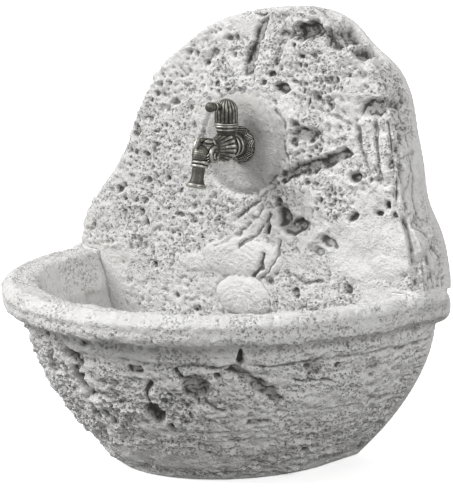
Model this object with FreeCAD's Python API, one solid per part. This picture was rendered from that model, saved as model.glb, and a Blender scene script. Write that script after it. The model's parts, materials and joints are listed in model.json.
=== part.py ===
"""Wall fountain of cast stone: a rock-faced back slab bedded into a half-round basin, with a
cast brass bib tap on the slab and a strainer waste in the basin floor.

Millimetres: +Z up, +Y into the wall, +X to the right for someone facing the fountain. The pieces
are drawn from the wall plane, and move by half the depth when they are saved, so that the origin
is under the middle of the fountain, on the surface that it stands on.
"""
import FreeCAD
import Part

import math
import os

from FreeCAD import Vector

# ---------------------------------------------------------------- driving dimensions, stone
HALF_WIDTH = 300.0            # half the width over the rim
DEPTH = 418.0                 # wall plane to the front of the rim
HEIGHT = 607.0                # underside to the slab's crown
RIM_TOP = 246.0               # top of the basin's rim
RIM_HEIGHT = 46.0             # rolled rim, top to lower lip
RIM_SIDE_WIDTH = 42.0         # rim's width beside the hollow
RIM_FRONT_WIDTH = 52.0        # rim's width in front of the hollow
RIM_SIDE_OVERHANG = 24.0      # how far the rim stands out past the body
RIM_FRONT_OVERHANG = 40.0
FOOT_HALF_WIDTH = 150.0       # flat underside
FOOT_DEPTH = 258.0
BODY_SWELL = 1.7              # how full the body's side is: 1 would be a straight slope
FLOOR_Z = 60.0                # inside floor of the basin
HOLLOW_FOOT_HALF_WIDTH = 205.0    # hollow, where its walls meet the bevel
HOLLOW_FOOT_DEPTH = 296.0
HOLLOW_BEVEL = 26.0           # bevel between floor and walls
BED = 3.0                     # mortar bed between the two stones

SLAB_FOOT_THICKNESS = 74.0    # slab at rim level
SLAB_CROWN_THICKNESS = 54.0   # slab at its crown
SLAB_EDGE_BEVEL = 16.0        # worn front edge of the slab
BOSS_RADIUS = 70.0            # round boss that carries the tap
BOSS_PROUD = 14.0
BOSS_SLOPE = 7.0              # how much smaller the boss is at its face

# ---------------------------------------------------------------- driving dimensions, tap
TAP_X = 7.0
TAP_ABOVE_RIM = 176.5
THREAD_HALF_INCH = 20.955 / 2     # G 1/2 outside radius
SHANK_LENGTH = 13.0
TAP_BORE = 6.0                    # radius of the waterway
ROSETTE_RADIUS = 27.0
ROSETTE_THICKNESS = 8.0
NECK_RADIUS = 12.5
STEM_FORWARD = 31.0               # slab boss to the valve's axis
BARREL_RADIUS = 15.0
CHIMNEY_TOP = 25.0                # above the tap's axis
CHIMNEY_RADIUS = 13.5
RUFF_RADIUS = 20.0                # shell-like collar behind the head
RUFF_FORWARD = 36.0
RUFF_LENGTH = 28.0
RUFF_NECK_RADIUS = 10.0
HEAD_FORWARD = 72.0               # boss to the middle of the cast head
HEAD_RISE = 0.5
HEAD_HALF_LENGTH = 25.0
HEAD_RADIUS = 18.0
NOZZLE_FORWARD = 88.0             # where the nozzle leaves the head
NOZZLE_TOP = -19.0                # below the tap's axis
NOZZLE_LENGTH = 30.0
NOZZLE_TILT = 14.0                # degrees out from the vertical
NOZZLE_RADIUS = 9.0
NOZZLE_LIP_RADIUS = 13.5
NOZZLE_BORE = 5.8
NOZZLE_SPIGOT = 7.5               # radius of the nozzle's spigot, inside the head
NOZZLE_SPIGOT_LENGTH = 7.0

# valve headwork
CHAMBER_RADIUS = 9.5
OUTLET_BORE = 4.5
SEAT_Z = 3.0                      # above the tap's axis
SEAT_RADIUS = 5.0
BONNET_FLANGE_RADIUS = 17.0
BONNET_FLANGE = 5.0
BONNET_THREAD_RADIUS = 9.4
BONNET_BORE = 7.0
BONNET_GUIDE_BORE = 4.1
DISC_RADIUS = 6.6
DISC_THICKNESS = 2.5
SEAL_HEIGHT = 3.0
SPINDLE_RADIUS = 4.0
SPINDLE_DRIVE_RADIUS = 5.8
SPINDLE_TOP = 51.0
RUNNING_GAP = 0.1
O_RING = 1.3                      # section diameter
FACE_GAP = 0.1                    # between discs and faces that turn on each other

# handle
CAP_RADIUS = 16.4
CAP_GAP = 0.6                     # under the cap
CAP_TOP = 65.0                    # above the tap's axis
CAP_WALL = 3.0
HUB_RADIUS = 7.0
LEVER_REACH = 40.0                # valve axis to the tip of the lever's knob
LEVER_NECK_RADIUS = 4.6
LEVER_KNOB_RADIUS = 7.2
LEVER_Z = 56.5                    # above the tap's axis
GRUB_RADIUS = 2.0
GRUB_LENGTH = 8.0
GRUB_ABOVE_FLANGE = 13.0

# ---------------------------------------------------------------- driving dimensions, supply
NIPPLE_RADIUS = 13.5
NIPPLE_TAIL = 18.0                # threaded tail inside the rear pocket
POCKET_RADIUS = 32.0
POCKET_DEPTH = 34.0
LOCKNUT_ACROSS = 30.0
LOCKNUT_THICKNESS = 7.0
WASHER_RADIUS = 22.0
WASHER_THICKNESS = 2.0
HOLE_CLEARANCE = 1.0              # stone hole round a metal tube
THREAD_GROOVE = 1.5               # width of the groove that ends a pipe thread
THREAD_GROOVE_DEPTH = 0.8

# ---------------------------------------------------------------- driving dimensions, waste
WASTE_Y = -190.0
WASTE_FLANGE_RADIUS = 35.0
WASTE_FLANGE = 3.0
WASTE_TAIL_RADIUS = 41.91 / 2     # G 1 1/4 outside radius
WASTE_TAIL_BORE = 16.0
WASTE_SEAL = 2.5
RECESS_RADIUS = 46.0
RECESS_TOP = 35.0
WASTE_TAIL_END = 4.0              # tail stops this far above the underside
BACKNUT_RADIUS = 29.0
BACKNUT_THICKNESS = 9.0
BACKNUT_NOTCH = 4.0               # radius of its six spanner notches
STRAINER_HOLES = 10
STRAINER_HOLE_RADIUS = 2.6
STRAINER_RING = 11.5              # radius of the ring that the holes sit on
STRAINER_SLOPE = 6.0              # width of the bevel round its edge
WASTE_BRIDGE_DROP = 6.0           # strainer to the bridge that takes its screw
WASTE_BRIDGE_HEIGHT = 8.0
WASTE_BRIDGE_WIDTH = 5.0
WASTE_SCREW_RADIUS = 3.0
WASTE_SCREW_LENGTH = 18.0

# ---------------------------------------------------------------- driving dimensions, wall fixings
HANGER_SPACING = 240.0
HANGER_ABOVE_RIM = 150.0
HANGER_LENGTH = 80.0
HANGER_WIDTH = 34.0
HANGER_THICKNESS = 4.0
HANGER_CORNER = 5.0
HANGER_HOLE = 7.0
HANGER_SCREW_SPACING = 60.0
HANGER_SCREW_RADIUS = 2.5
HANGER_SCREW_LENGTH = 32.0
HANGER_POCKET_DEPTH = 30.0
HANGER_MARGIN = 1.0
PLUG_RADIUS = 4.0
DOWEL_RADIUS = 5.0
DOWEL_LENGTH = 80.0
DOWEL_GAP = 0.3

# ---------------------------------------------------------------- worked out from those
SIDE_STRAIGHT = SLAB_FOOT_THICKNESS + BED     # the basin's sides are straight where the slab stands
RIM_BOTTOM = RIM_TOP - RIM_HEIGHT
BODY_HALF_WIDTH = HALF_WIDTH - RIM_SIDE_OVERHANG
BODY_DEPTH = DEPTH - RIM_FRONT_OVERHANG
HOLLOW_HALF_WIDTH = HALF_WIDTH - RIM_SIDE_WIDTH
HOLLOW_DEPTH = DEPTH - RIM_FRONT_WIDTH
SLAB_SEAT = RIM_TOP + BED
SLAB_RISE = HEIGHT - SLAB_SEAT
TAP_Z = RIM_TOP + TAP_ABOVE_RIM
HANGER_Z = RIM_TOP + HANGER_ABOVE_RIM
TAP_SHARE = (TAP_Z - SLAB_SEAT) / SLAB_RISE
SLAB_AT_TAP = SLAB_FOOT_THICKNESS + TAP_SHARE * (SLAB_CROWN_THICKNESS - SLAB_FOOT_THICKNESS)
BOSS_FACE = -(SLAB_AT_TAP + BOSS_PROUD)
UP = Vector(0, 0, 1)
FORWARD = Vector(0, -1, 0)
CUT = 1.0                         # how far a cutting tool runs past the face that it cuts

# Slab outline as shares of the half width and of the rise above the rim, from the right foot
# over the crown to the left foot. The crown leans to the right, as split rock does.
SLAB_SHAPE = [
    (1.000, 0.000), (0.984, 0.105), (0.942, 0.215), (0.876, 0.320), (0.850, 0.440),
    (0.812, 0.575), (0.782, 0.690), (0.708, 0.795), (0.570, 0.880), (0.482, 0.945),
    (0.380, 0.985), (0.150, 1.000), (-0.080, 0.970), (-0.310, 0.875), (-0.510, 0.742),
    (-0.640, 0.572), (-0.735, 0.400), (-0.845, 0.270), (-0.972, 0.140), (-1.000, 0.000),
]


def tap_point(x, forward, z):
    """A place given from the tap's own axis, where it meets the boss."""
    return Vector(TAP_X + x, BOSS_FACE - forward, TAP_Z + z)


def along(radius, length, start, direction):
    return Part.makeCylinder(radius, length, start, direction)


def ring(outer, inner, length, start, direction):
    """A tube or washer."""
    back = start - direction * CUT
    return along(outer, length, start, direction).cut(
        along(inner, length + 2 * CUT, back, direction))


def torus(radius, section, centre, direction):
    return Part.makeTorus(radius, section / 2, centre, direction)


def hexagon(across, height, start, direction):
    """A hexagonal prism, by its width across flats."""
    corner = across / math.sqrt(3)
    points = [Vector(corner * math.cos(math.radians(60 * k)),
                     corner * math.sin(math.radians(60 * k)), 0) for k in range(7)]
    prism = Part.Face(Part.makePolygon(points)).extrude(Vector(0, 0, height))
    prism.Placement = FreeCAD.Placement(start, FreeCAD.Rotation(UP, direction))
    return prism


def revolve(profile, axis_point, axis=UP):
    """Turns (radius, height) points about an axis that starts at axis_point."""
    points = [Vector(r, 0, h) for r, h in profile]
    face = Part.Face(Part.makePolygon(points + [points[0]]))
    solid = face.revolve(Vector(0, 0, 0), UP, 360)
    solid.Placement = FreeCAD.Placement(axis_point, FreeCAD.Rotation(UP, axis))
    return solid


def prism_xz(points, y_from, y_to):
    """A prism from (x, z) corners, between two planes parallel to the wall."""
    corners = [Vector(x, y_from, z) for x, z in points]
    face = Part.Face(Part.makePolygon(corners + [corners[0]]))
    return face.extrude(Vector(0, y_to - y_from, 0))


def fuse(shapes):
    return shapes[0].multiFuse(shapes[1:]).removeSplitter()


def copies(solid, offsets):
    """Separate solids of one shape, for pieces that share a node."""
    placed = []
    for offset in offsets:
        twin = solid.copy()
        twin.translate(offset)
        placed.append(twin)
    return Part.makeCompound(placed)


# ---------------------------------------------------------------- basin
def half_round(half_width, depth, z, wall=0.0):
    """Plan of the basin at one height: straight sides by the wall, and a half ellipse in front."""
    radius_y = depth - SIDE_STRAIGHT
    centre = Vector(0, -SIDE_STRAIGHT, z)
    side = Vector(half_width, -SIDE_STRAIGHT, z)
    front = Vector(0, -depth, z)
    if half_width >= radius_y:
        ellipse = Part.Ellipse(side, front, centre)
    else:
        ellipse = Part.Ellipse(front, side, centre)
    # split at the front, so that every section has the same edges in the same order
    right = Part.Arc(ellipse, *sorted_range(ellipse, side, front)).toShape()
    left = right.mirror(Vector(0, 0, 0), Vector(1, 0, 0))
    wall_right, wall_left = Vector(half_width, wall, z), Vector(-half_width, wall, z)
    other_side = Vector(-half_width, -SIDE_STRAIGHT, z)
    edges = [Part.makeLine(wall_right, side), right, left,
             Part.makeLine(other_side, wall_left), Part.makeLine(wall_left, wall_right)]
    return Part.Wire(Part.__sortEdges__(edges))


def sorted_range(ellipse, first, second):
    """The parameters of the quarter of the ellipse between two of its points."""
    a, b = ellipse.parameter(first), ellipse.parameter(second)
    if abs(b - a) > math.pi:
        a, b = (a + 2 * math.pi, b) if a < b else (a, b + 2 * math.pi)
    return min(a, b), max(a, b)


def basin_body():
    """Outside of the basin below the rim: a foot that swells in a curve."""
    sections = []
    for share in (0.0, 0.1, 0.25, 0.45, 0.7, 1.0):
        swell = 1 - (1 - share) ** BODY_SWELL
        half_width = FOOT_HALF_WIDTH + (BODY_HALF_WIDTH - FOOT_HALF_WIDTH) * swell
        depth = FOOT_DEPTH + (BODY_DEPTH - FOOT_DEPTH) * swell
        sections.append(half_round(half_width, depth, share * RIM_BOTTOM))
    return Part.makeLoft(sections, True, False)


# Rim profile: share of the rim's height, and share of the overhang that it is drawn in by.
RIM_SHAPE = [(0.0, 0.85), (0.1, 0.45), (0.32, 0.07), (0.6, 0.0), (0.85, 0.14), (1.0, 0.5)]


def rim_roll():
    """Rolled rim: a band whose outside is rounded over top and bottom."""
    sections = []
    for share, inset in RIM_SHAPE:
        sections.append(half_round(HALF_WIDTH - inset * RIM_SIDE_OVERHANG,
                                   DEPTH - inset * RIM_FRONT_OVERHANG,
                                   RIM_BOTTOM + share * RIM_HEIGHT))
    return Part.makeLoft(sections, True, False)


def hollow_wall_at(z):
    """Half width and depth of the hollow at a height above the bevel: straight, sloping walls."""
    foot_z = FLOOR_Z + HOLLOW_BEVEL
    share = (z - foot_z) / (RIM_TOP - foot_z)
    return (HOLLOW_FOOT_HALF_WIDTH + share * (HOLLOW_HALF_WIDTH - HOLLOW_FOOT_HALF_WIDTH),
            HOLLOW_FOOT_DEPTH + share * (HOLLOW_DEPTH - HOLLOW_FOOT_DEPTH))


def hollow():
    """Inside of the basin, run past the rim so that it cuts cleanly."""
    foot_z = FLOOR_Z + HOLLOW_BEVEL
    half, depth = hollow_wall_at(foot_z)
    over_z = RIM_TOP + 10 * CUT
    over_half, over_depth = hollow_wall_at(over_z)
    lower = Part.makeLoft([half_round(half - HOLLOW_BEVEL, depth - HOLLOW_BEVEL, FLOOR_Z, CUT),
                           half_round(half, depth, foot_z, CUT)], True, True)
    upper = Part.makeLoft([half_round(half, depth, foot_z, CUT),
                           half_round(over_half, over_depth, over_z, CUT)], True, True)
    return lower.fuse(upper)


def hollow_section(inset):
    """The hollow's (x, z) section next to the wall, taken in by inset, from rim down and up again."""
    foot_z = FLOOR_Z + HOLLOW_BEVEL
    half = HOLLOW_FOOT_HALF_WIDTH
    right = [(HOLLOW_HALF_WIDTH - inset, RIM_TOP), (half - inset, foot_z),
             (half - HOLLOW_BEVEL - inset, FLOOR_Z + inset)]
    return right + [(-x, z) for x, z in reversed(right)]


def dowel_places():
    x = (HOLLOW_HALF_WIDTH + HALF_WIDTH - RIM_SHAPE[-1][1] * RIM_SIDE_OVERHANG) / 2
    return [Vector(sign * x, -SIDE_STRAIGHT / 2, SLAB_SEAT - BED / 2 - DOWEL_LENGTH / 2)
            for sign in (1, -1)]


def dowel_holes():
    start = Vector(0, 0, -CUT)
    hole = along(DOWEL_RADIUS + DOWEL_GAP, DOWEL_LENGTH + 2 * CUT, start, UP)
    return copies(hole, dowel_places())


def basin():
    stone = basin_body().fuse(rim_roll()).cut(hollow())
    drain = Vector(0, WASTE_Y, 0)
    stone = stone.cut(along(WASTE_TAIL_RADIUS + HOLE_CLEARANCE, FLOOR_Z + CUT, drain, UP))
    stone = stone.cut(along(RECESS_RADIUS, RECESS_TOP + CUT, drain - UP * CUT, UP))
    return stone.cut(dowel_holes())


# ---------------------------------------------------------------- slab
def outline_wire(y, shrink):
    """Slab outline in a plane parallel to the wall, taken in by a share towards the slab's middle."""
    centre_z = SLAB_SEAT
    points = []
    for share_x, share_z in SLAB_SHAPE:
        points.append(Vector(share_x * HALF_WIDTH * (1 - shrink), y,
                             centre_z + share_z * SLAB_RISE * (1 - shrink)))
    curve = Part.BSplineCurve()
    curve.interpolate(points)
    return Part.Wire([curve.toShape(), Part.makeLine(points[-1], points[0])])


def slab_thickness_cut():
    """What leaves the slab thinner at its crown than at its foot."""
    rise = SLAB_RISE + 50
    slope = (SLAB_FOOT_THICKNESS - SLAB_CROWN_THICKNESS) / SLAB_RISE
    corners = [Vector(0, -SLAB_FOOT_THICKNESS, SLAB_SEAT),
               Vector(0, -SLAB_FOOT_THICKNESS + slope * rise, SLAB_SEAT + rise),
               Vector(0, -SLAB_FOOT_THICKNESS - 60, SLAB_SEAT + rise),
               Vector(0, -SLAB_FOOT_THICKNESS - 60, SLAB_SEAT)]
    wedge = Part.Face(Part.makePolygon(corners + [corners[0]])).extrude(Vector(4 * HALF_WIDTH, 0, 0))
    wedge.translate(Vector(-2 * HALF_WIDTH, 0, 0))
    return wedge


def hanger_places():
    return [Vector(sign * HANGER_SPACING / 2, 0, HANGER_Z) for sign in (-1, 1)]


def screw_places():
    offsets = []
    for place in hanger_places():
        for sign in (-1, 1):
            offsets.append(place + Vector(sign * HANGER_SCREW_SPACING / 2, 0, 0))
    return offsets


def hanger_pocket():
    """A shallow seat for one hanger plate, with a deeper pocket behind the plate's hole."""
    length, width = HANGER_LENGTH + 2 * HANGER_MARGIN, HANGER_WIDTH + 2 * HANGER_MARGIN
    seat = Part.makeBox(length, HANGER_THICKNESS + CUT, width,
                        Vector(-length / 2, -HANGER_THICKNESS, -width / 2))
    deep = HANGER_SCREW_SPACING - 4 * PLUG_RADIUS
    pocket = Part.makeBox(deep, HANGER_POCKET_DEPTH + CUT, width,
                          Vector(-deep / 2, -HANGER_POCKET_DEPTH, -width / 2))
    return seat.fuse(pocket)


def slab():
    bevel_from = -(SLAB_FOOT_THICKNESS - SLAB_EDGE_BEVEL)
    shrink = SLAB_EDGE_BEVEL / HALF_WIDTH
    back = Part.Face(outline_wire(0, 0)).extrude(Vector(0, bevel_from, 0))
    front = Part.makeLoft([outline_wire(bevel_from, 0),
                           outline_wire(-SLAB_FOOT_THICKNESS, shrink)], True, True)
    tongue = prism_xz(tongue_corners(), 0, -SLAB_FOOT_THICKNESS)
    stone = back.fuse(front).cut(slab_thickness_cut()).fuse(tongue)
    boss_back = SLAB_CROWN_THICKNESS - CUT
    boss = Part.makeCone(BOSS_RADIUS, BOSS_RADIUS - BOSS_SLOPE, -BOSS_FACE - boss_back,
                         Vector(TAP_X, -boss_back, TAP_Z), FORWARD)
    stone = stone.fuse(boss).removeSplitter()
    return drill_slab(stone)


def tongue_corners():
    """The slab's lower part, which stands in the basin and closes its back."""
    corners = hollow_section(BED)
    right_top, left_top = (corners[0][0], SLAB_SEAT + CUT), (corners[-1][0], SLAB_SEAT + CUT)
    return [right_top] + corners + [left_top]


def drill_slab(stone):
    inlet = along(NIPPLE_RADIUS + HOLE_CLEARANCE, -BOSS_FACE + CUT, tap_point(0, CUT, 0), -FORWARD)
    pocket = along(POCKET_RADIUS, POCKET_DEPTH + CUT, Vector(TAP_X, CUT, TAP_Z), FORWARD)
    stone = stone.cut(inlet).cut(pocket).cut(dowel_holes())
    stone = stone.cut(copies(hanger_pocket(), hanger_places()))
    plug_hole = along(PLUG_RADIUS, HANGER_SCREW_LENGTH + 2, Vector(0, -HANGER_THICKNESS, 0), FORWARD)
    return stone.cut(copies(plug_hole, screw_places()))


def bed_mortar():
    """Mortar between tongue and basin, and under the slab's two shoulders."""
    channel = hollow_section(0)
    edge = HALF_WIDTH - RIM_SHAPE[-1][1] * RIM_SIDE_OVERHANG - BED
    outer = [(edge, SLAB_SEAT), (edge, RIM_TOP)] + channel + [(-edge, RIM_TOP), (-edge, SLAB_SEAT)]
    bed = prism_xz(outer, 0, -SLAB_FOOT_THICKNESS)
    inner = prism_xz(tongue_corners(), CUT, -SLAB_FOOT_THICKNESS - CUT)
    return bed.cut(inner).cut(dowel_holes())


def dowel_pins():
    return copies(along(DOWEL_RADIUS, DOWEL_LENGTH, Vector(0, 0, 0), UP), dowel_places())


# ---------------------------------------------------------------- supply through the slab
def nipple_back():
    """Wall-side end of the nipple, inside the rear pocket."""
    return -POCKET_DEPTH + NIPPLE_TAIL


def thread_groove(radius, start, direction):
    """Groove round a pipe's tail, past its locknut, that the joining union nut runs up to."""
    return ring(radius + 1, radius - THREAD_GROOVE_DEPTH, THREAD_GROOVE, start, direction)


def supply_nipple():
    """Long nipple: a socket for the tap at the front, and a threaded tail in the rear pocket."""
    socket_length = -BOSS_FACE - POCKET_DEPTH - WASHER_THICKNESS
    socket = along(NIPPLE_RADIUS, socket_length, tap_point(0, 0, 0), -FORWARD)
    tail_start = Vector(TAP_X, BOSS_FACE + socket_length, TAP_Z)
    tail = along(THREAD_HALF_INCH, nipple_back() - tail_start.y, tail_start, -FORWARD)
    locknut_end = Vector(TAP_X, -POCKET_DEPTH + WASHER_THICKNESS + LOCKNUT_THICKNESS, TAP_Z)
    tail = tail.cut(thread_groove(THREAD_HALF_INCH, locknut_end, -FORWARD))
    bore = along(TAP_BORE + 1, -BOSS_FACE + 10, tap_point(0, CUT, 0), -FORWARD)
    seat = along(THREAD_HALF_INCH + RUNNING_GAP, SHANK_LENGTH + WASHER_THICKNESS + CUT,
                 tap_point(0, CUT, 0), -FORWARD)
    return socket.fuse(tail).cut(bore).cut(seat)


def inlet_washer():
    start = Vector(TAP_X, BOSS_FACE + SHANK_LENGTH, TAP_Z)
    return ring(THREAD_HALF_INCH - 0.5, TAP_BORE + 1, WASHER_THICKNESS, start, -FORWARD)


def nipple_washer():
    start = Vector(TAP_X, -POCKET_DEPTH, TAP_Z)
    return ring(WASHER_RADIUS, THREAD_HALF_INCH + RUNNING_GAP, WASHER_THICKNESS, start, -FORWARD)


def nipple_locknut():
    start = Vector(TAP_X, -POCKET_DEPTH + WASHER_THICKNESS, TAP_Z)
    nut = hexagon(LOCKNUT_ACROSS, LOCKNUT_THICKNESS, start, -FORWARD)
    return nut.cut(along(THREAD_HALF_INCH + RUNNING_GAP, LOCKNUT_THICKNESS + 2 * CUT,
                         start + FORWARD * CUT, -FORWARD))


# ---------------------------------------------------------------- tap
def wall_rosette():
    """Domed cover plate round the tap's neck."""
    edge = 2.5
    hole = NECK_RADIUS - 1.5
    profile = [(hole, 0), (ROSETTE_RADIUS, 0), (ROSETTE_RADIUS, edge),
               (ROSETTE_RADIUS - 4, edge + 3.0), (ROSETTE_RADIUS - 10, ROSETTE_THICKNESS),
               (hole, ROSETTE_THICKNESS)]
    return revolve(profile, tap_point(0, 0, 0), FORWARD)


def spindle_shape(half_length, radius, centre, direction):
    """A solid turned from one arc: pointed at both ends, round in the middle."""
    top, side, bottom = Vector(0, 0, half_length), Vector(radius, 0, 0), Vector(0, 0, -half_length)
    outline = Part.Wire([Part.Arc(bottom, side, top).toShape(), Part.makeLine(top, bottom)])
    solid = Part.Face(outline).revolve(Vector(0, 0, 0), UP, 360)
    solid.Placement = FreeCAD.Placement(centre, FreeCAD.Rotation(UP, direction))
    return solid


def nozzle_up():
    """Direction from the nozzle's lip up into the head."""
    tilt = math.radians(NOZZLE_TILT)
    return Vector(0, math.sin(tilt), math.cos(tilt))


def nozzle_mouth():
    """Where the nozzle's shoulder meets the head."""
    return tap_point(0, NOZZLE_FORWARD, NOZZLE_TOP)


def waterways():
    """Passages in the tap's body: in from the wall, up through the seat, and out to the nozzle."""
    inlet = along(TAP_BORE, SHANK_LENGTH + STEM_FORWARD + CUT,
                  Vector(TAP_X, BOSS_FACE + SHANK_LENGTH + CUT, TAP_Z - 4), FORWARD)
    seat = along(SEAT_RADIUS, SEAT_Z + 5, tap_point(0, STEM_FORWARD, -4), UP)
    chamber = along(CHAMBER_RADIUS, CHIMNEY_TOP - SEAT_Z + CUT,
                    tap_point(0, STEM_FORWARD, SEAT_Z), UP)
    up = nozzle_up()
    outlet_z = DRIVE_BASE
    drop_length = (outlet_z - NOZZLE_TOP) / up.z
    meeting = nozzle_mouth() + up * drop_length
    outlet = along(OUTLET_BORE, BOSS_FACE - STEM_FORWARD - meeting.y,
                   tap_point(0, STEM_FORWARD, outlet_z), FORWARD)
    drop = along(OUTLET_BORE, drop_length, nozzle_mouth(), up)
    return [inlet, seat, chamber, outlet, drop]


def tap_body():
    shank = along(THREAD_HALF_INCH, SHANK_LENGTH + ROSETTE_THICKNESS,
                  Vector(TAP_X, BOSS_FACE + SHANK_LENGTH, TAP_Z), FORWARD)
    neck = along(NECK_RADIUS, STEM_FORWARD + 18 - ROSETTE_THICKNESS,
                 tap_point(0, ROSETTE_THICKNESS, 0), FORWARD)
    barrel = Part.makeSphere(BARREL_RADIUS, tap_point(0, STEM_FORWARD, 0))
    chimney = along(CHIMNEY_RADIUS, CHIMNEY_TOP, tap_point(0, STEM_FORWARD, 0), UP)
    ruff = Part.makeCone(RUFF_RADIUS, RUFF_NECK_RADIUS, RUFF_LENGTH,
                         tap_point(0, RUFF_FORWARD, 0), FORWARD)
    head = spindle_shape(HEAD_HALF_LENGTH, HEAD_RADIUS, tap_point(0, HEAD_FORWARD, HEAD_RISE), FORWARD)
    muzzle = Part.makeCone(NOZZLE_SPIGOT + 3.0, NOZZLE_SPIGOT + 4.5, -NOZZLE_TOP,
                           nozzle_mouth(), nozzle_up())
    body = fuse([shank, neck, barrel, chimney, ruff, head, muzzle])
    for way in waterways():
        body = body.cut(way)
    spigot_seat = along(NOZZLE_SPIGOT, NOZZLE_SPIGOT_LENGTH + CUT,
                        nozzle_mouth() - nozzle_up() * CUT, nozzle_up())
    return body.cut(spigot_seat)


def spout_nozzle():
    """Flared pipe that the head holds in its mouth, pushed in on a spigot."""
    length = NOZZLE_LENGTH
    spigot = NOZZLE_SPIGOT - RUNNING_GAP
    top = length + NOZZLE_SPIGOT_LENGTH - RUNNING_GAP
    profile = [(NOZZLE_BORE, 0), (NOZZLE_LIP_RADIUS, 0), (NOZZLE_LIP_RADIUS, 2.5),
               (NOZZLE_RADIUS + 1, 7.0), (NOZZLE_RADIUS, length * 0.5), (NOZZLE_RADIUS, length),
               (spigot, length), (spigot, top), (NOZZLE_BORE, top)]
    return revolve(profile, nozzle_mouth() - nozzle_up() * length, nozzle_up())


# ---------------------------------------------------------------- valve headwork
SEAL_BASE = SEAT_Z
FIXED_BASE = SEAL_BASE + SEAL_HEIGHT
DRIVE_BASE = FIXED_BASE + DISC_THICKNESS + FACE_GAP
SPINDLE_BASE = DRIVE_BASE + DISC_THICKNESS
DRIVE_HEIGHT = 4.0
GUIDE_BASE = SPINDLE_BASE + DRIVE_HEIGHT + FACE_GAP
FLANGE_TOP = CHIMNEY_TOP + BONNET_FLANGE


def valve_bonnet():
    """Screwed headwork: flange, threaded body, and a cage with two windows round the discs."""
    flange = along(BONNET_FLANGE_RADIUS, BONNET_FLANGE, tap_point(0, STEM_FORWARD, CHIMNEY_TOP), UP)
    thread = along(BONNET_THREAD_RADIUS, CHIMNEY_TOP - FIXED_BASE,
                   tap_point(0, STEM_FORWARD, FIXED_BASE), UP)
    body = flange.fuse(thread)
    cage = along(BONNET_BORE, GUIDE_BASE - FIXED_BASE + CUT,
                 tap_point(0, STEM_FORWARD, FIXED_BASE - CUT), UP)
    guide = along(BONNET_GUIDE_BORE, FLANGE_TOP, tap_point(0, STEM_FORWARD, FIXED_BASE), UP)
    window = Part.makeBox(2 * CHAMBER_RADIUS, 7.0, DISC_THICKNESS - 0.4)
    window.translate(tap_point(-CHAMBER_RADIUS, STEM_FORWARD + 3.5, DRIVE_BASE + 0.2))
    groove = ring(CHAMBER_RADIUS + 2, CHAMBER_RADIUS - O_RING - 0.1, O_RING + 0.2,
                  tap_point(0, STEM_FORWARD, CHIMNEY_TOP - 3 - O_RING / 2 - 0.1), UP)
    return body.cut(cage).cut(guide).cut(window).cut(groove)


def bonnet_o_ring():
    radius = CHAMBER_RADIUS - 0.05 - O_RING / 2
    return torus(radius, O_RING - 0.1, tap_point(0, STEM_FORWARD, CHIMNEY_TOP - 3), UP)


def seat_seal():
    return ring(DISC_RADIUS, SEAT_RADIUS - 1, SEAL_HEIGHT,
                tap_point(0, STEM_FORWARD, SEAL_BASE), UP)


def ported_disc(base):
    """Ceramic disc with two opposite quarter ports."""
    disc = along(DISC_RADIUS, DISC_THICKNESS, tap_point(0, STEM_FORWARD, base), UP)
    for turn in (45, 225):
        port = Part.makeCylinder(DISC_RADIUS - 1.6, DISC_THICKNESS + 2 * CUT,
                                 Vector(0, 0, 0), UP, 80)
        port = port.cut(along(1.4, DISC_THICKNESS + 2 * CUT, Vector(0, 0, 0), UP))
        port.rotate(Vector(0, 0, 0), UP, turn)
        port.translate(tap_point(0, STEM_FORWARD, base - CUT))
        disc = disc.cut(port)
    return disc


def fixed_disc():
    return ported_disc(FIXED_BASE)


def drive_disc():
    """The turning disc: its ports stand a quarter turn from the fixed ones while the tap is shut."""
    disc = ported_disc(DRIVE_BASE)
    disc.rotate(tap_point(0, STEM_FORWARD, 0), UP, 90)
    return disc


def spindle_groove_heights():
    return [GUIDE_BASE + 4.0, GUIDE_BASE + 8.0]


def clip_base():
    return FLANGE_TOP + FACE_GAP


def valve_spindle():
    start = tap_point(0, STEM_FORWARD, SPINDLE_BASE)
    drive = along(SPINDLE_DRIVE_RADIUS, DRIVE_HEIGHT, start, UP)
    stem = along(SPINDLE_RADIUS, SPINDLE_TOP - SPINDLE_BASE, start, UP)
    spindle = drive.fuse(stem)
    for height in spindle_groove_heights():
        spindle = spindle.cut(ring(SPINDLE_RADIUS + 1, SPINDLE_RADIUS - O_RING, O_RING + 0.2,
                                   tap_point(0, STEM_FORWARD, height - O_RING / 2 - 0.1), UP))
    groove = ring(SPINDLE_RADIUS + 1, SPINDLE_RADIUS - 0.7, 1.2,
                  tap_point(0, STEM_FORWARD, clip_base() - 0.1), UP)
    return spindle.cut(groove)


def spindle_o_rings():
    radius = SPINDLE_RADIUS - O_RING / 2
    rings = [torus(radius, O_RING - 0.1, tap_point(0, STEM_FORWARD, height), UP)
             for height in spindle_groove_heights()]
    return Part.makeCompound(rings)


def spindle_clip():
    """Open retaining ring that keeps the spindle in the bonnet."""
    clip = ring(SPINDLE_RADIUS + 2.0, SPINDLE_RADIUS - 0.6, 1.0,
                tap_point(0, STEM_FORWARD, clip_base()), UP)
    mouth = Part.makeBox(3.0, SPINDLE_RADIUS + 4, 3.0)
    mouth.translate(tap_point(-1.5, STEM_FORWARD, clip_base() - CUT))
    return clip.cut(mouth)


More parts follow.
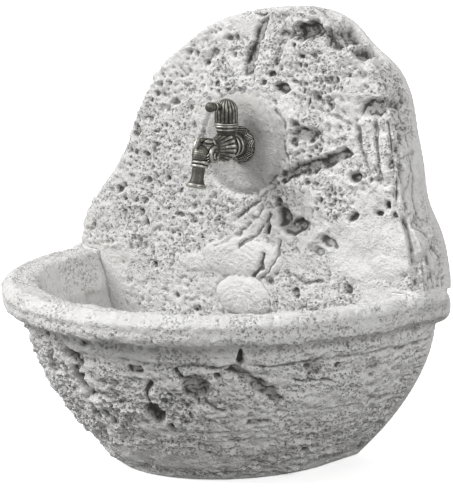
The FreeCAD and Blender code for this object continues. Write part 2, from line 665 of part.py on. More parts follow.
# ---------------------------------------------------------------- handle
def handle_cap():
    """Hollow domed cap with a hub for the spindle and a short lever towards the front."""
    base = FLANGE_TOP + CAP_GAP
    shoulder = CAP_TOP - CAP_RADIUS
    axis = tap_point(0, STEM_FORWARD, 0)
    skirt = along(CAP_RADIUS, shoulder - base, axis + UP * base, UP)
    dome = Part.makeSphere(CAP_RADIUS, axis + UP * shoulder)
    knob_out = LEVER_REACH - LEVER_KNOB_RADIUS
    lever = along(LEVER_NECK_RADIUS, knob_out, axis + UP * LEVER_Z, FORWARD)
    knob = Part.makeSphere(LEVER_KNOB_RADIUS, axis + UP * LEVER_Z + FORWARD * knob_out)
    below = along(2 * CAP_RADIUS, 2 * CAP_RADIUS, axis + UP * (base - 2 * CAP_RADIUS), UP)
    shell = skirt.fuse(dome).fuse(lever).fuse(knob).cut(below)
    inner_radius = CAP_RADIUS - CAP_WALL
    inside = along(inner_radius, shoulder - base + CUT, axis + UP * (base - CUT), UP).fuse(
        Part.makeSphere(inner_radius, axis + UP * shoulder))
    below_inside = along(2 * CAP_RADIUS, 2 * CAP_RADIUS, axis + UP * (base - CUT - 2 * CAP_RADIUS), UP)
    hub_base = clip_base() + 2.0
    hub = along(HUB_RADIUS, CAP_TOP - CAP_WALL - hub_base, axis + UP * hub_base, UP)
    cap = shell.cut(inside.cut(below_inside)).fuse(hub)
    socket = along(SPINDLE_RADIUS + 0.02, SPINDLE_TOP - hub_base + 0.5 + CUT,
                   axis + UP * (hub_base - CUT), UP)
    return cap.cut(socket).cut(grub_hole())


def grub_height():
    return FLANGE_TOP + GRUB_ABOVE_FLANGE


def grub_hole():
    """Threaded hole at the back of the cap."""
    return along(GRUB_RADIUS + 0.05, CAP_RADIUS + CUT,
                 tap_point(0, STEM_FORWARD, grub_height()), -FORWARD)


def handle_grub_screw():
    start = tap_point(0, STEM_FORWARD - SPINDLE_RADIUS, grub_height())
    screw = along(GRUB_RADIUS, GRUB_LENGTH, start, -FORWARD)
    return screw.cut(hexagon(2.0, 3.0, start - FORWARD * (GRUB_LENGTH - 2.0), -FORWARD))


# ---------------------------------------------------------------- waste
def waste_axis(z):
    return Vector(0, WASTE_Y, z)


def waste_strainer():
    """Dished strainer plate with a ring of holes, screwed down by one screw in the middle."""
    base = waste_axis(FLOOR_Z + WASTE_SEAL)
    flat = along(WASTE_FLANGE_RADIUS, WASTE_FLANGE / 2, base, UP)
    crown = Part.makeCone(WASTE_FLANGE_RADIUS, WASTE_FLANGE_RADIUS - STRAINER_SLOPE, WASTE_FLANGE / 2,
                          base + UP * (WASTE_FLANGE / 2), UP)
    plate = flat.fuse(crown)
    for k in range(STRAINER_HOLES):
        angle = math.radians(360 / STRAINER_HOLES * k)
        place = Vector(STRAINER_RING * math.cos(angle), STRAINER_RING * math.sin(angle), -CUT)
        plate = plate.cut(along(STRAINER_HOLE_RADIUS, WASTE_FLANGE + 2 * CUT, base + place, UP))
    return plate.cut(along(WASTE_SCREW_RADIUS + RUNNING_GAP, WASTE_FLANGE + 2 * CUT,
                           base - UP * CUT, UP))


def waste_top_seal():
    return ring(WASTE_FLANGE_RADIUS - 1, WASTE_TAIL_RADIUS + RUNNING_GAP, WASTE_SEAL,
                waste_axis(FLOOR_Z), UP)


def backnut_base():
    return RECESS_TOP - WASTE_SEAL - BACKNUT_THICKNESS


def waste_body():
    """Threaded tail with a bridge across its mouth that takes the screw."""
    top = FLOOR_Z + WASTE_SEAL
    tail = ring(WASTE_TAIL_RADIUS, WASTE_TAIL_BORE, top - WASTE_TAIL_END,
                waste_axis(WASTE_TAIL_END), UP)
    tail = tail.cut(thread_groove(WASTE_TAIL_RADIUS, waste_axis(backnut_base()), -UP))
    bridge_base = waste_axis(top - WASTE_BRIDGE_DROP - WASTE_BRIDGE_HEIGHT)
    half_span = WASTE_TAIL_BORE + CUT
    bridge = Part.makeBox(2 * half_span, WASTE_BRIDGE_WIDTH, WASTE_BRIDGE_HEIGHT,
                          bridge_base - Vector(half_span, WASTE_BRIDGE_WIDTH / 2, 0))
    post = along(WASTE_SCREW_RADIUS + 2.0, WASTE_BRIDGE_HEIGHT, bridge_base, UP)
    body = tail.fuse(bridge).fuse(post)
    return body.cut(along(WASTE_SCREW_RADIUS + RUNNING_GAP, WASTE_BRIDGE_HEIGHT + 2 * CUT,
                          bridge_base - UP * CUT, UP))


def waste_lower_seal():
    return ring(BACKNUT_RADIUS, WASTE_TAIL_RADIUS + RUNNING_GAP, WASTE_SEAL,
                waste_axis(RECESS_TOP - WASTE_SEAL), UP)


def waste_backnut():
    base = waste_axis(backnut_base())
    nut = along(BACKNUT_RADIUS, BACKNUT_THICKNESS, base, UP)
    for k in range(6):
        angle = math.radians(60 * k)
        notch = along(BACKNUT_NOTCH, BACKNUT_THICKNESS + 2 * CUT,
                      base + Vector((BACKNUT_RADIUS + 1) * math.cos(angle),
                                    (BACKNUT_RADIUS + 1) * math.sin(angle), -CUT), UP)
        nut = nut.cut(notch)
    return nut.cut(along(WASTE_TAIL_RADIUS + RUNNING_GAP, BACKNUT_THICKNESS + 2 * CUT,
                         base - UP * CUT, UP))


def waste_screw():
    top = FLOOR_Z + WASTE_SEAL + WASTE_FLANGE
    shank = along(WASTE_SCREW_RADIUS, WASTE_SCREW_LENGTH, waste_axis(top - WASTE_SCREW_LENGTH), UP)
    head = Part.makeCone(6.0, 4.5, 2.4, waste_axis(top), UP)
    slot = Part.makeBox(14, 1.2, 1.4)
    slot.translate(waste_axis(top + 1.2) + Vector(-7, -0.6, 0))
    return shank.fuse(head).cut(slot)


# ---------------------------------------------------------------- wall fixings
def hanger_plates():
    half_length, half_width = HANGER_LENGTH / 2, HANGER_WIDTH / 2
    plate = Part.makeBox(HANGER_LENGTH, HANGER_THICKNESS, HANGER_WIDTH,
                         Vector(-half_length, -HANGER_THICKNESS, -half_width))
    upright = [e for e in plate.Edges if abs(e.tangentAt(e.FirstParameter).y) > 0.9]
    plate = plate.makeFillet(HANGER_CORNER, upright)
    plate = plate.cut(along(HANGER_HOLE, HANGER_THICKNESS + 2 * CUT, Vector(0, CUT, 0), FORWARD))
    for sign in (-1, 1):
        hole = along(HANGER_SCREW_RADIUS + 0.3, HANGER_THICKNESS + 2 * CUT,
                     Vector(sign * HANGER_SCREW_SPACING / 2, CUT, 0), FORWARD)
        sink = Part.makeCone(5.3, HANGER_SCREW_RADIUS + 0.3, 2.5,
                             Vector(sign * HANGER_SCREW_SPACING / 2, 0, 0), FORWARD)
        plate = plate.cut(hole).cut(sink)
    return copies(plate, hanger_places())


def hanger_screws():
    head = Part.makeCone(5.0, HANGER_SCREW_RADIUS, 2.4, Vector(0, 0, 0), FORWARD)
    shank = along(HANGER_SCREW_RADIUS, HANGER_SCREW_LENGTH, Vector(0, 0, 0), FORWARD)
    cross = Part.makeBox(5.0, 1.6, 1.0, Vector(-2.5, -1.5, -0.5)).fuse(
        Part.makeBox(1.0, 1.6, 5.0, Vector(-0.5, -1.5, -2.5)))
    return copies(head.fuse(shank).cut(cross), screw_places())


def hanger_plugs():
    plug = ring(PLUG_RADIUS, HANGER_SCREW_RADIUS, HANGER_SCREW_LENGTH - 2,
                Vector(0, -HANGER_THICKNESS, 0), FORWARD)
    return copies(plug, screw_places())


PIECES = {
    "basin": basin,
    "back_slab": slab,
    "bed_mortar": bed_mortar,
    "dowel_pins": dowel_pins,
    "supply_nipple": supply_nipple,
    "inlet_washer": inlet_washer,
    "nipple_washer": nipple_washer,
    "nipple_locknut": nipple_locknut,
    "wall_rosette": wall_rosette,
    "tap_body": tap_body,
    "spout_nozzle": spout_nozzle,
    "valve_bonnet": valve_bonnet,
    "bonnet_o_ring": bonnet_o_ring,
    "seat_seal": seat_seal,
    "fixed_disc": fixed_disc,
    "drive_disc": drive_disc,
    "valve_spindle": valve_spindle,
    "spindle_o_rings": spindle_o_rings,
    "spindle_clip": spindle_clip,
    "handle_cap": handle_cap,
    "handle_grub_screw": handle_grub_screw,
    "waste_strainer": waste_strainer,
    "waste_top_seal": waste_top_seal,
    "waste_body": waste_body,
    "waste_lower_seal": waste_lower_seal,
    "waste_backnut": waste_backnut,
    "waste_screw": waste_screw,
    "hanger_plates": hanger_plates,
    "hanger_screws": hanger_screws,
    "hanger_plugs": hanger_plugs,
}


def main():
    os.makedirs("parts", exist_ok=True)
    for name, build in PIECES.items():
        shape = build()
        if not shape.isValid() or not shape.Solids:
            raise ValueError(f"{name} isn't a valid solid")
        shape.translate(Vector(0, DEPTH / 2, 0))
        shape.exportStep(f"parts/{name}.step")
        box = shape.BoundBox
        print(f"{name}: {len(shape.Solids)} solid(s), {shape.Volume / 1000:.1f} cm3, "
              f"z {box.ZMin:.1f} to {box.ZMax:.1f}")


main()
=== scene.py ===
import itertools
import json
import math

import bmesh
import bpy
import numpy as np
from bpy.props import FloatProperty, FloatVectorProperty, IntProperty, PointerProperty
from mathutils import Matrix, Vector


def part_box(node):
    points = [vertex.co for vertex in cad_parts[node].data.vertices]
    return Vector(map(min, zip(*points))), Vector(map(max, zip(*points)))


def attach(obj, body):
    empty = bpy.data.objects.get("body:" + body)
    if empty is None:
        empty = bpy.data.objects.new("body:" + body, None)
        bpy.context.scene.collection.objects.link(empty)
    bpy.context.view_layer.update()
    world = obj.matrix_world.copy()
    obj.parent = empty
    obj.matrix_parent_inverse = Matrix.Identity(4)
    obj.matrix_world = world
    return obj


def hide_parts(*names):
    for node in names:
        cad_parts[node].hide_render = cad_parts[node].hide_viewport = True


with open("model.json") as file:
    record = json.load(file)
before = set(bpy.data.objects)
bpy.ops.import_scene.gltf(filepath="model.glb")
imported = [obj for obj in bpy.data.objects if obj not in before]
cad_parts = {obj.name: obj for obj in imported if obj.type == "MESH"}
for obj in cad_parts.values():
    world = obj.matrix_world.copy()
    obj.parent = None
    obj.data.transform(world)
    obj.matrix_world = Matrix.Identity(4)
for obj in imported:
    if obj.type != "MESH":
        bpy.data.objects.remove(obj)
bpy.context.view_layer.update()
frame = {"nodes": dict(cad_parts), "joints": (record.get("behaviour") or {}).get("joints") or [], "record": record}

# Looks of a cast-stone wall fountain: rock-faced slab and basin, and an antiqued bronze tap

bl_info = {
    "name": "Cast-stone wall fountain",
    "version": (1, 0, 0),
    "blender": (4, 5, 0),
    "location": "3D View > Sidebar > Fountain",
    "description": "Carves the stones, casts the tap and lights the fountain around its packed parts",
    "category": "Object",
}

MM = 0.001
# Most triangles that one piece is given, just under the 200,000 it may have
PIECE_TRIANGLES = 190000

# ---------------------------------------------------------------- places, read from the frame
STANDS = "fountain"
TURNS = "handle"
WALL_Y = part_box("back_slab")[1].y
RIM_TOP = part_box("basin")[1].z / MM
HALF_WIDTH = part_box("basin")[1].x / MM
RIM_DEPTH = (WALL_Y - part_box("basin")[0].y) / MM
SLAB_FACE = (WALL_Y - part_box("bed_mortar")[0].y) / MM
ROSETTE_LOW, ROSETTE_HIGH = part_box("wall_rosette")
TAP_FOOT = Vector(((ROSETTE_LOW.x + ROSETTE_HIGH.x) / 2, ROSETTE_HIGH.y,
                   (ROSETTE_LOW.z + ROSETTE_HIGH.z) / 2))
ROSETTE_RADIUS = (ROSETTE_HIGH.x - ROSETTE_LOW.x) / 2 / MM
STEM = (TAP_FOOT.y - frame["joints"][0]["pos_m"][1]) / MM
CAP_LOW, CAP_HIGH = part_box("handle_cap")
CAP_BASE = (CAP_LOW.z - TAP_FOOT.z) / MM
CAP_TOP = (CAP_HIGH.z - TAP_FOOT.z) / MM
CAP_RADIUS = (CAP_HIGH.x - CAP_LOW.x) / 2 / MM
LEVER_TIP = (TAP_FOOT.y - CAP_LOW.y) / MM
FLANGE_TOP = (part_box("valve_bonnet")[1].z - TAP_FOOT.z) / MM
FLANGE_RADIUS = (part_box("valve_bonnet")[1].x - TAP_FOOT.x) / MM
TAP_X = TAP_FOOT.x / MM
TAP_Z = TAP_FOOT.z / MM
UP = Vector((0, 0, 1))
FORWARD = Vector((0, -1, 0))


# ================================================================ noise over points in space
def hashed(cell, seed):
    """A repeatable value from 0 to 1 for each whole-numbered cell."""
    x, y, z = (cell[:, k].astype(np.uint32) for k in range(3))
    mixed = x * np.uint32(374761393) + y * np.uint32(668265263) + z * np.uint32(2147483647)
    mixed = mixed + np.uint32(seed * 3266489917 % 4294967296)
    mixed = (mixed ^ (mixed >> np.uint32(13))) * np.uint32(1274126177)
    mixed = (mixed ^ (mixed >> np.uint32(15))) * np.uint32(2246822519)
    mixed = mixed ^ (mixed >> np.uint32(16))
    return (mixed & np.uint32(0xFFFFFF)).astype(np.float32) / np.float32(0x1000000)


def lumps(points, size, seed=0):
    """Smooth noise from -1 to 1, with lumps of about that size."""
    scaled = points / np.asarray(size, np.float32)
    low = np.floor(scaled).astype(np.int64)
    part = (scaled - low).astype(np.float32)
    part = part * part * (3 - 2 * part)
    total = np.zeros(len(points), np.float32)
    for corner in itertools.product((0, 1), repeat=3):
        share = np.where(corner, part, 1 - part).prod(axis=1)
        total += share * hashed(low + np.array(corner), seed)
    return 2 * total - 1


def layered(points, size, layers=3, seed=0):
    """Noise with finer and weaker layers on top of each other."""
    size = np.asarray(size, np.float32)
    total, weight, used = 0, 1.0, 0
    for layer in range(layers):
        total = total + weight * lumps(points, size / 2 ** layer, seed + layer)
        used += weight
        weight *= 0.55
    return total / used


def ridges(points, size, layers=2, seed=0):
    """Noise whose crests are sharp: 1 on a crest, falling to 0."""
    return 1 - np.abs(layered(points, size, layers, seed)) * 1.8


def scattered(points, size, seed=0):
    """Points scattered one to a cell: distance to the nearest and the next, in cells, and its own value."""
    scaled = points / np.asarray(size, np.float32)
    low = np.floor(scaled).astype(np.int64)
    nearest = np.full(len(points), 9.0, np.float32)
    second, own = nearest.copy(), np.zeros_like(nearest)
    for step in itertools.product((-1, 0, 1), repeat=3):
        cell = low + np.array(step)
        offset = np.stack([hashed(cell, seed + k) for k in range(3)], axis=1)
        gap = np.sqrt(((cell + offset - scaled) ** 2).sum(axis=1)).astype(np.float32)
        closer = gap < nearest
        second = np.where(closer, nearest, np.minimum(second, gap))
        own = np.where(closer, hashed(cell, seed + 5), own)
        nearest = np.where(closer, gap, nearest)
    return nearest, second, own


def rise(low, high, value):
    """0 below low, 1 above high and smooth between; the other way round if low is the larger."""
    share = np.clip((value - low) / (high - low), 0, 1)
    return share * share * (3 - 2 * share)


# ================================================================ meshes
def linked(name, mesh):
    obj = bpy.data.objects.new(name, mesh)
    bpy.context.scene.collection.objects.link(obj)
    return obj


def applied(obj):
    """The object with its modifiers worked into its mesh."""
    settled = bpy.data.meshes.new_from_object(obj.evaluated_get(bpy.context.evaluated_depsgraph_get()))
    obj.modifiers.clear()
    old, obj.data = obj.data, settled
    bpy.data.meshes.remove(old)
    return obj


def even_faces(obj, size):
    """The object's outside, rebuilt in small faces of one size, given in millimetres."""
    remesh = obj.modifiers.new("even faces", "REMESH")
    remesh.mode = "VOXEL"
    remesh.voxel_size = size * MM
    return applied(obj)


def copied(node, name):
    return linked(name, frame["nodes"][node].data.copy())


def read(items, key, width=3, kind=np.float32):
    values = np.empty(len(items) * width, kind)
    items.foreach_get(key, values)
    return values.reshape(-1, width) if width > 1 else values


def corners(mesh):
    return read(mesh.vertices, "co")


def move_corners(mesh, places):
    mesh.vertices.foreach_set("co", np.ascontiguousarray(places, np.float32).ravel())
    mesh.update()


def eased(mesh, places, weight, rounds):
    """Places drawn towards the mean of their neighbours, which rounds edges off."""
    edges = read(mesh.edges, "vertices", 2, np.int32)
    first, last = edges[:, 0], edges[:, 1]
    count = np.bincount(edges.ravel(), minlength=len(places)).clip(1)
    for _ in range(rounds):
        mean = np.empty_like(places)
        for k in range(3):
            total = np.bincount(first, places[last, k], len(places))
            mean[:, k] = (total + np.bincount(last, places[first, k], len(places))) / count
        places = places + (mean - places) * weight[:, None]
    return places


def keep_values(mesh, name, values):
    """Stores one value a corner, for the material to read."""
    held = mesh.attributes.new(name, "FLOAT", "POINT")
    held.data.foreach_set("value", np.ascontiguousarray(values, np.float32))


def thinned(obj, triangles):
    """Fewer faces where the surface is plain."""
    now = sum(len(p.vertices) - 2 for p in obj.data.polygons)
    if now > triangles:
        thin = obj.modifiers.new("plain faces", "DECIMATE")
        thin.ratio = triangles / now
        applied(obj)
    return obj


def smooth_shaded(obj):
    obj.data.polygons.foreach_set("use_smooth", [True] * len(obj.data.polygons))
    obj.data.update()
    return obj


def placed(obj, node, body, material):
    """Gives the piece its finish, and puts it on its body in place of its CAD node."""
    obj.data.materials.clear()
    obj.data.materials.append(material)
    smooth_shaded(obj)
    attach(obj, body)
    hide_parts(node)
    return obj


def rounded(profile, rounds=3):
    """Cuts a profile's corners again and again, and keeps its ends."""
    points = [tuple(map(float, p)) for p in profile]
    for _ in range(rounds):
        cut = [points[0]]
        for (r1, h1), (r2, h2) in zip(points, points[1:]):
            cut.append((0.75 * r1 + 0.25 * r2, 0.75 * h1 + 0.25 * h2))
            cut.append((0.25 * r1 + 0.75 * r2, 0.25 * h1 + 0.75 * h2))
        points = cut + [points[-1]]
    return points


def in_steps(profile, step):
    """Adds points along a profile, no further apart than step."""
    points = [profile[0]]
    for (r1, h1), (r2, h2) in zip(profile, profile[1:]):
        count = max(1, math.ceil(math.hypot(r2 - r1, h2 - h1) / step))
        points += [(r1 + (r2 - r1) * k / count, h1 + (h2 - h1) * k / count) for k in range(1, count + 1)]
    return points


def turned(name, profile, foot, axis, segments=96, ripple=None, ring=False):
    """A shape turned from (radius, height) points, in millimetres from foot along axis.
    ring joins the profile's last point to its first; ripple(radius, height, angle) works relief into it."""
    radius, height = (np.array(side)[:, None] for side in zip(*profile))
    angle = np.linspace(0, 2 * math.pi, segments, endpoint=False)[None, :]
    radius = radius * np.ones_like(angle)
    height = height * np.ones_like(angle)
    if ripple:
        radius, height = ripple(radius, height, angle)
    turn = np.array(axis.to_track_quat("Z", "Y").to_matrix())
    local = np.stack([radius * np.cos(angle), radius * np.sin(angle), height], axis=-1).reshape(-1, 3)
    places = local @ turn.T * MM + np.array(foot)
    rows = len(profile)
    faces = []
    for i in range(rows if ring else rows - 1):
        a, b = i * segments, (i + 1) % rows * segments
        for j in range(segments):
            k = (j + 1) % segments
            faces.append((a + j, a + k, b + k, b + j))
    mesh = bpy.data.meshes.new(name)
    mesh.from_pydata(places.tolist(), [], faces)
    return linked(name, welded(mesh))


def welded(mesh):
    """Merges corners that share a place, as at the ends of an axis, and turns the faces outwards."""
    work = bmesh.new()
    work.from_mesh(mesh)
    bmesh.ops.remove_doubles(work, verts=work.verts, dist=1e-6)
    bmesh.ops.dissolve_degenerate(work, edges=work.edges, dist=1e-7)
    bmesh.ops.recalc_face_normals(work, faces=work.faces)
    work.to_mesh(mesh)
    work.free()
    mesh.update()
    return mesh


def tap_place(x, forward, z):
    """A place in millimetres from where the tap's axis meets the slab."""
    return TAP_FOOT + Vector((x, -forward, z)) * MM


def egg(name, centre, radii, tilt=0.0, lean=0.0, segments=32):
    """An ellipsoid; tilt turns it about X and lean about Y, in degrees."""
    profile = [(math.sin(t), -math.cos(t)) for t in np.linspace(0, math.pi, segments // 2)]
    obj = turned(name, profile, Vector(), UP, segments)
    obj.data.transform(Matrix.Diagonal((*radii, 1)))
    obj.data.transform(Matrix.Rotation(math.radians(tilt), 4, "X"))
    obj.data.transform(Matrix.Rotation(math.radians(lean), 4, "Y"))
    obj.data.transform(Matrix.Translation(centre))
    return obj


def hoop(name, centre, axis, radius, section, segments=48):
    """A ring of round section."""
    around = np.linspace(0, 2 * math.pi, 13)[:-1]
    profile = [(radius + section * math.cos(t), section * math.sin(t)) for t in around]
    return turned(name, profile, centre, axis, segments, ring=True)


def joined(name, parts):
    """One object from several, with each part's faces kept."""
    work = bmesh.new()
    for part in parts:
        work.from_mesh(part.data)
        old = part.data
        bpy.data.objects.remove(part)
        bpy.data.meshes.remove(old)
    mesh = bpy.data.meshes.new(name)
    work.to_mesh(mesh)
    work.free()
    return linked(name, mesh)


def cast(name, parts, grain, ease):
    """Parts run together as in one casting, with softened corners."""
    obj = even_faces(joined(name, parts), grain)
    mesh = obj.data
    places = corners(mesh)
    move_corners(mesh, eased(mesh, places, np.full(len(places), 0.5, np.float32), ease))
    return obj


def mark_ridges(obj, reach, contrast=1.0):
    """Stores how far each corner stands out past its surroundings, from 0 in a hollow to 1 on a ridge."""
    mesh = obj.data
    places = corners(mesh)
    normals = read(mesh.vertex_normals, "vector")
    around = eased(mesh, places, np.full(len(places), 1.0, np.float32), reach)
    proud = ((places - around) * normals).sum(axis=1) / MM
    spread = np.percentile(np.abs(proud), 92) + 1e-6
    keep_values(mesh, "ridge", np.clip(0.5 + 0.5 * contrast * proud / spread, 0, 1))
    return obj


# ================================================================ relief of the stones, in millimetres
# Hollows in the slab's face: across from the middle, up from the base, width, height, tilt, depth
SLAB_HOLLOWS = (
    (101, 578, 50, 26, 15, 15), (149, 573, 44, 30, 0, 13), (184, 555, 22, 18, 0, 13),
    (64, 502, 26, 15, 0, 11), (70, 569, 11, 8, 0, 6), (43, 519, 11, 9, 0, 7), (33, 507, 10, 8, 0, 6),
    (78, 557, 10, 8, 0, 6), (92, 546, 12, 9, 0, 7), (215, 486, 54, 22, 20, 9), (101, 442, 52, 20, 10, 8),
    (189, 392, 19, 14, 0, 10), (241, 363, 11, 11, 0, 9), (226, 350, 10, 9, 0, 7), (252, 348, 9, 10, 0, 7),
    (92, 317, 40, 22, 10, 12), (71, 327, 18, 28, 10, 12), (48, 312, 9, 18, 0, 8), (75, 379, 16, 11, 0, 9),
    (150, 300, 26, 12, -10, 6), (190, 340, 22, 12, 15, 7), (-164, 356, 12, 10, 0, 6),
    (-107, 313, 14, 10, 0, 6), (-219, 337, 12, 12, 0, 6), (-194, 424, 14, 20, -40, 7),
    (-120, 470, 16, 10, 20, 5), (-60, 540, 18, 12, 30, 5), (20, 600, 20, 12, 0, 6),
)
# Grooves in it: the points they run through, width, depth
SLAB_GROOVES = (
    (((25, 584), (16, 552), (5, 520)), 20, 10), (((62, 572), (56, 554), (50, 536)), 15, 8),
    (((73, 386), (120, 402), (171, 421)), 17, 11), (((73, 386), (36, 348), (-1, 320)), 6, 5),
    (((52, 330), (30, 300), (4, 283)), 6, 5),
    (((46, 276), (45, 258), (30, 242)), 7, 7), (((77, 247), (95, 252), (112, 244), (140, 248)), 5, 4),
    (((120, 480), (160, 470), (190, 452)), 6, 4), (((52, 361), (33, 328), (0, 297), (-43, 278)), 4, 3),
    (((53, 485), (72, 452), (77, 406), (65, 381)), 5, 4),
    (((-51, 337), (-10, 330), (15, 350), (28, 369)), 4, 2),
    (((69, 297), (62, 267), (41, 240)), 4, 4), (((187, 468), (199, 430), (217, 392)), 6, 5),
    (((214, 474), (222, 434), (228, 396)), 7, 6),
)
# Round places eaten into cells: across, up, radius
SLAB_COMBS = ((115, 515, 40), (158, 519, 18), (150, 353, 26), (205, 400, 20), (120, 430, 22), (-40, 500, 24))
# Rounded casts of shells low in the middle: across, up, half width, half height, how far they stand out
SLAB_SHELLS = ((6, 266, 66, 30, 8), (10, 214, 46, 28, 14), (252, 280, 30, 16, 4), (-75, 250, 30, 14, 3))

# Places left smooth: across, up, half width, half height, how smooth
SLAB_SMOOTH = ((220, 300, 85, 52, 0.85), (10, 582, 40, 22, 0.75), (-30, 225, 60, 30, 0.5),
               (120, 345, 40, 26, 0.5),
               (205, 440, 36, 40, 0.45), (100, 268, 60, 14, 0.7), (165, 500, 30, 24, 0.4))

# On the bowl: round from its front, up from the base, width, height, tilt, depth
BOWL_HOLLOWS = (
    (-39, 172, 46, 24, -35, 14), (-34, 133, 44, 24, -35, 14), (69, 169, 22, 12, 0, 8),
    (83, 104, 32, 27, 0, 15), (152, 146, 38, 36, 10, 12), (108, 84, 14, 18, 0, 10),
    (181, 164, 11, 9, 0, 6), (211, 190, 10, 21, 0, 13), (304, 172, 28, 28, 0, 7),
    (338, 171, 14, 11, 0, 6), (397, 155, 24, 26, 0, 5), (299, 151, 32, 7, -8, 6),
    (328, 148, 28, 6, -8, 5), (235, 94, 34, 7, 5, 6), (338, 39, 15, 11, 0, 7),
    (10, 76, 14, 9, 0, 7), (-110, 150, 26, 18, -20, 9), (-150, 100, 22, 20, 0, 8),
    (-210, 160, 24, 14, 15, 8), (-90, 90, 20, 12, 0, 7), (-260, 130, 22, 18, 0, 8),
    (-180, 60, 24, 12, 0, 7), (150, 60, 20, 8, 0, 5),
)
BOWL_GROOVES = (
    (((206, 174), (235, 149), (265, 127)), 20, 12), (((83, 118), (78, 134), (86, 150)), 8, 8),
    (((128, 172), (138, 160), (150, 152)), 9, 8), (((160, 132), (176, 118), (190, 112)), 7, 7),
    (((130, 184), (140, 180), (152, 182)), 4, 4), (((-60, 190), (-20, 158), (10, 140)), 9, 6),
)
BOWL_SMOOTH = ((60, 30, 190, 16, 0.7), (240, 185, 70, 16, 0.5), (330, 110, 60, 22, 0.5),
               (20, 185, 70, 10, 0.5))
BOWL_COMBS = ((-120, 120, 62), (-200, 110, 62), (-60, 90, 34), (20, 100, 34), (120, 120, 28), (-280, 130, 50))
RIM_CHIPS = ((289, 209, 12, 10, 0, 6), (-30, 206, 26, 8, 0, 4), (120, 204, 30, 6, 0, 4),
             (-150, 206, 24, 8, 0, 4), (210, 203, 22, 6, 0, 3), (330, 224, 14, 8, 0, 3))

RIM_LOW = RIM_TOP - 50            # underside of the rolled rim
ROLL_LOW = RIM_TOP - 38           # where the roll meets the band under it
BACK_OF_HOLLOW = SLAB_FACE + 3
FLOOR_OF_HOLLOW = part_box("waste_top_seal")[0].z / MM
WASTE_LOW, WASTE_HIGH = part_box("waste_strainer")
WASTE_AT = ((WASTE_LOW.x + WASTE_HIGH.x) / 2 / MM, (WALL_Y - (WASTE_LOW.y + WASTE_HIGH.y) / 2) / MM)
WASTE_RADIUS = (WASTE_HIGH.x - WASTE_LOW.x) / 2 / MM
BOSS_RADIUS = 70
FURROW_FROM = 225                 # where the slab's right edge begins
ARC_PER_DEGREE = 4.9              # round the bowl's side, at half its height


def worn(across, up, ragged, hollows):
    """Depth of ragged hollows with flat floors and steep sides."""
    deepest = np.zeros_like(across)
    for x, z, width, height, tilt, depth in hollows:
        near = np.flatnonzero(np.hypot(across - x, up - z) < 1.2 * max(width, height))
        a, b = across[near] - x, up[near] - z
        turn = math.radians(tilt)
        along = (a * math.cos(turn) + b * math.sin(turn)) / (width / 2)
        over = (b * math.cos(turn) - a * math.sin(turn)) / (height / 2)
        hollow = depth * rise(1.3, 0.66, np.hypot(along, over) + 0.35 * ragged[near])
        deepest[near] = np.maximum(deepest[near], hollow)
    return deepest


def cut_along(across, up, ragged, uneven, grooves):
    """Depth of grooves that run through rows of points, wider and deeper here and there."""
    deepest = np.zeros_like(across)
    for path, width, depth in grooves:
        for (x1, z1), (x2, z2) in zip(path, path[1:]):
            dx, dz = x2 - x1, z2 - z1
            share = np.clip(((across - x1) * dx + (up - z1) * dz) / (dx * dx + dz * dz), 0, 1)
            gap = np.hypot(across - x1 - share * dx, up - z1 - share * dz)
            wide = width / 2 * (1 + 0.5 * uneven)
            cut = rise(1.3, 0.55, gap / wide + 0.45 * ragged)
            deepest = np.maximum(deepest, depth * (0.8 + 0.45 * uneven) * cut)
    return deepest


def smoothness(across, up, places):
    """How smooth the stone is left, from rows of oval places."""
    smooth = np.zeros_like(across)
    for x, z, half_width, half_height, share in places:
        reach = np.hypot((across - x) / half_width, (up - z) / half_height)
        smooth = np.maximum(smooth, share * rise(1.2, 0.6, reach))
    return smooth


def strayed(points, across, up, seed):
    """The same two coordinates, led astray so that nothing drawn with them is straight or round."""
    across = across + 4 * layered(points, 34, 2, seed) + 3 * layered(points, 11, 2, seed + 3)
    return across, up + 4 * layered(points, 34, 2, seed + 6) + 3 * layered(points, 11, 2, seed + 9)


def combed(across, up, points, places, size, depth, seed):
    """Depth of honeycomb: round cells with thin walls, in round places."""
    inside = np.zeros_like(across)
    for x, z, radius in places:
        inside = np.maximum(inside, rise(1.15, 0.75, np.hypot(across - x, up - z) / radius))
    near = np.flatnonzero(inside > 0)
    cells = np.zeros_like(across)
    nearest, second, own = scattered(points[near], size, seed)
    cells[near] = rise(0.04, 0.3, second - nearest) * (0.4 + 0.6 * own)
    return depth * inside * cells


def pored(points, size, share, depth, seed, ragged):
    """Depth of scattered pores; share is the part of the cells that hold one."""
    nearest, _, own = scattered(points, size, seed)
    return depth * (own < share) * (0.5 + own / share / 2) * rise(0.42, 0.2, nearest + 0.1 * ragged)


def crumbled(points, seed):
    """Sharp small relief of broken stone: nodules with cracks between them."""
    nearest, second, own = scattered(points, 8.5, seed)
    flakes = ridges(points, (13, 13, 9), 3, seed + 9)
    return 1.9 * rise(0.0, 0.35, second - nearest) * own + 2.6 * np.clip(flakes - 0.35, 0, 1) - 1.9


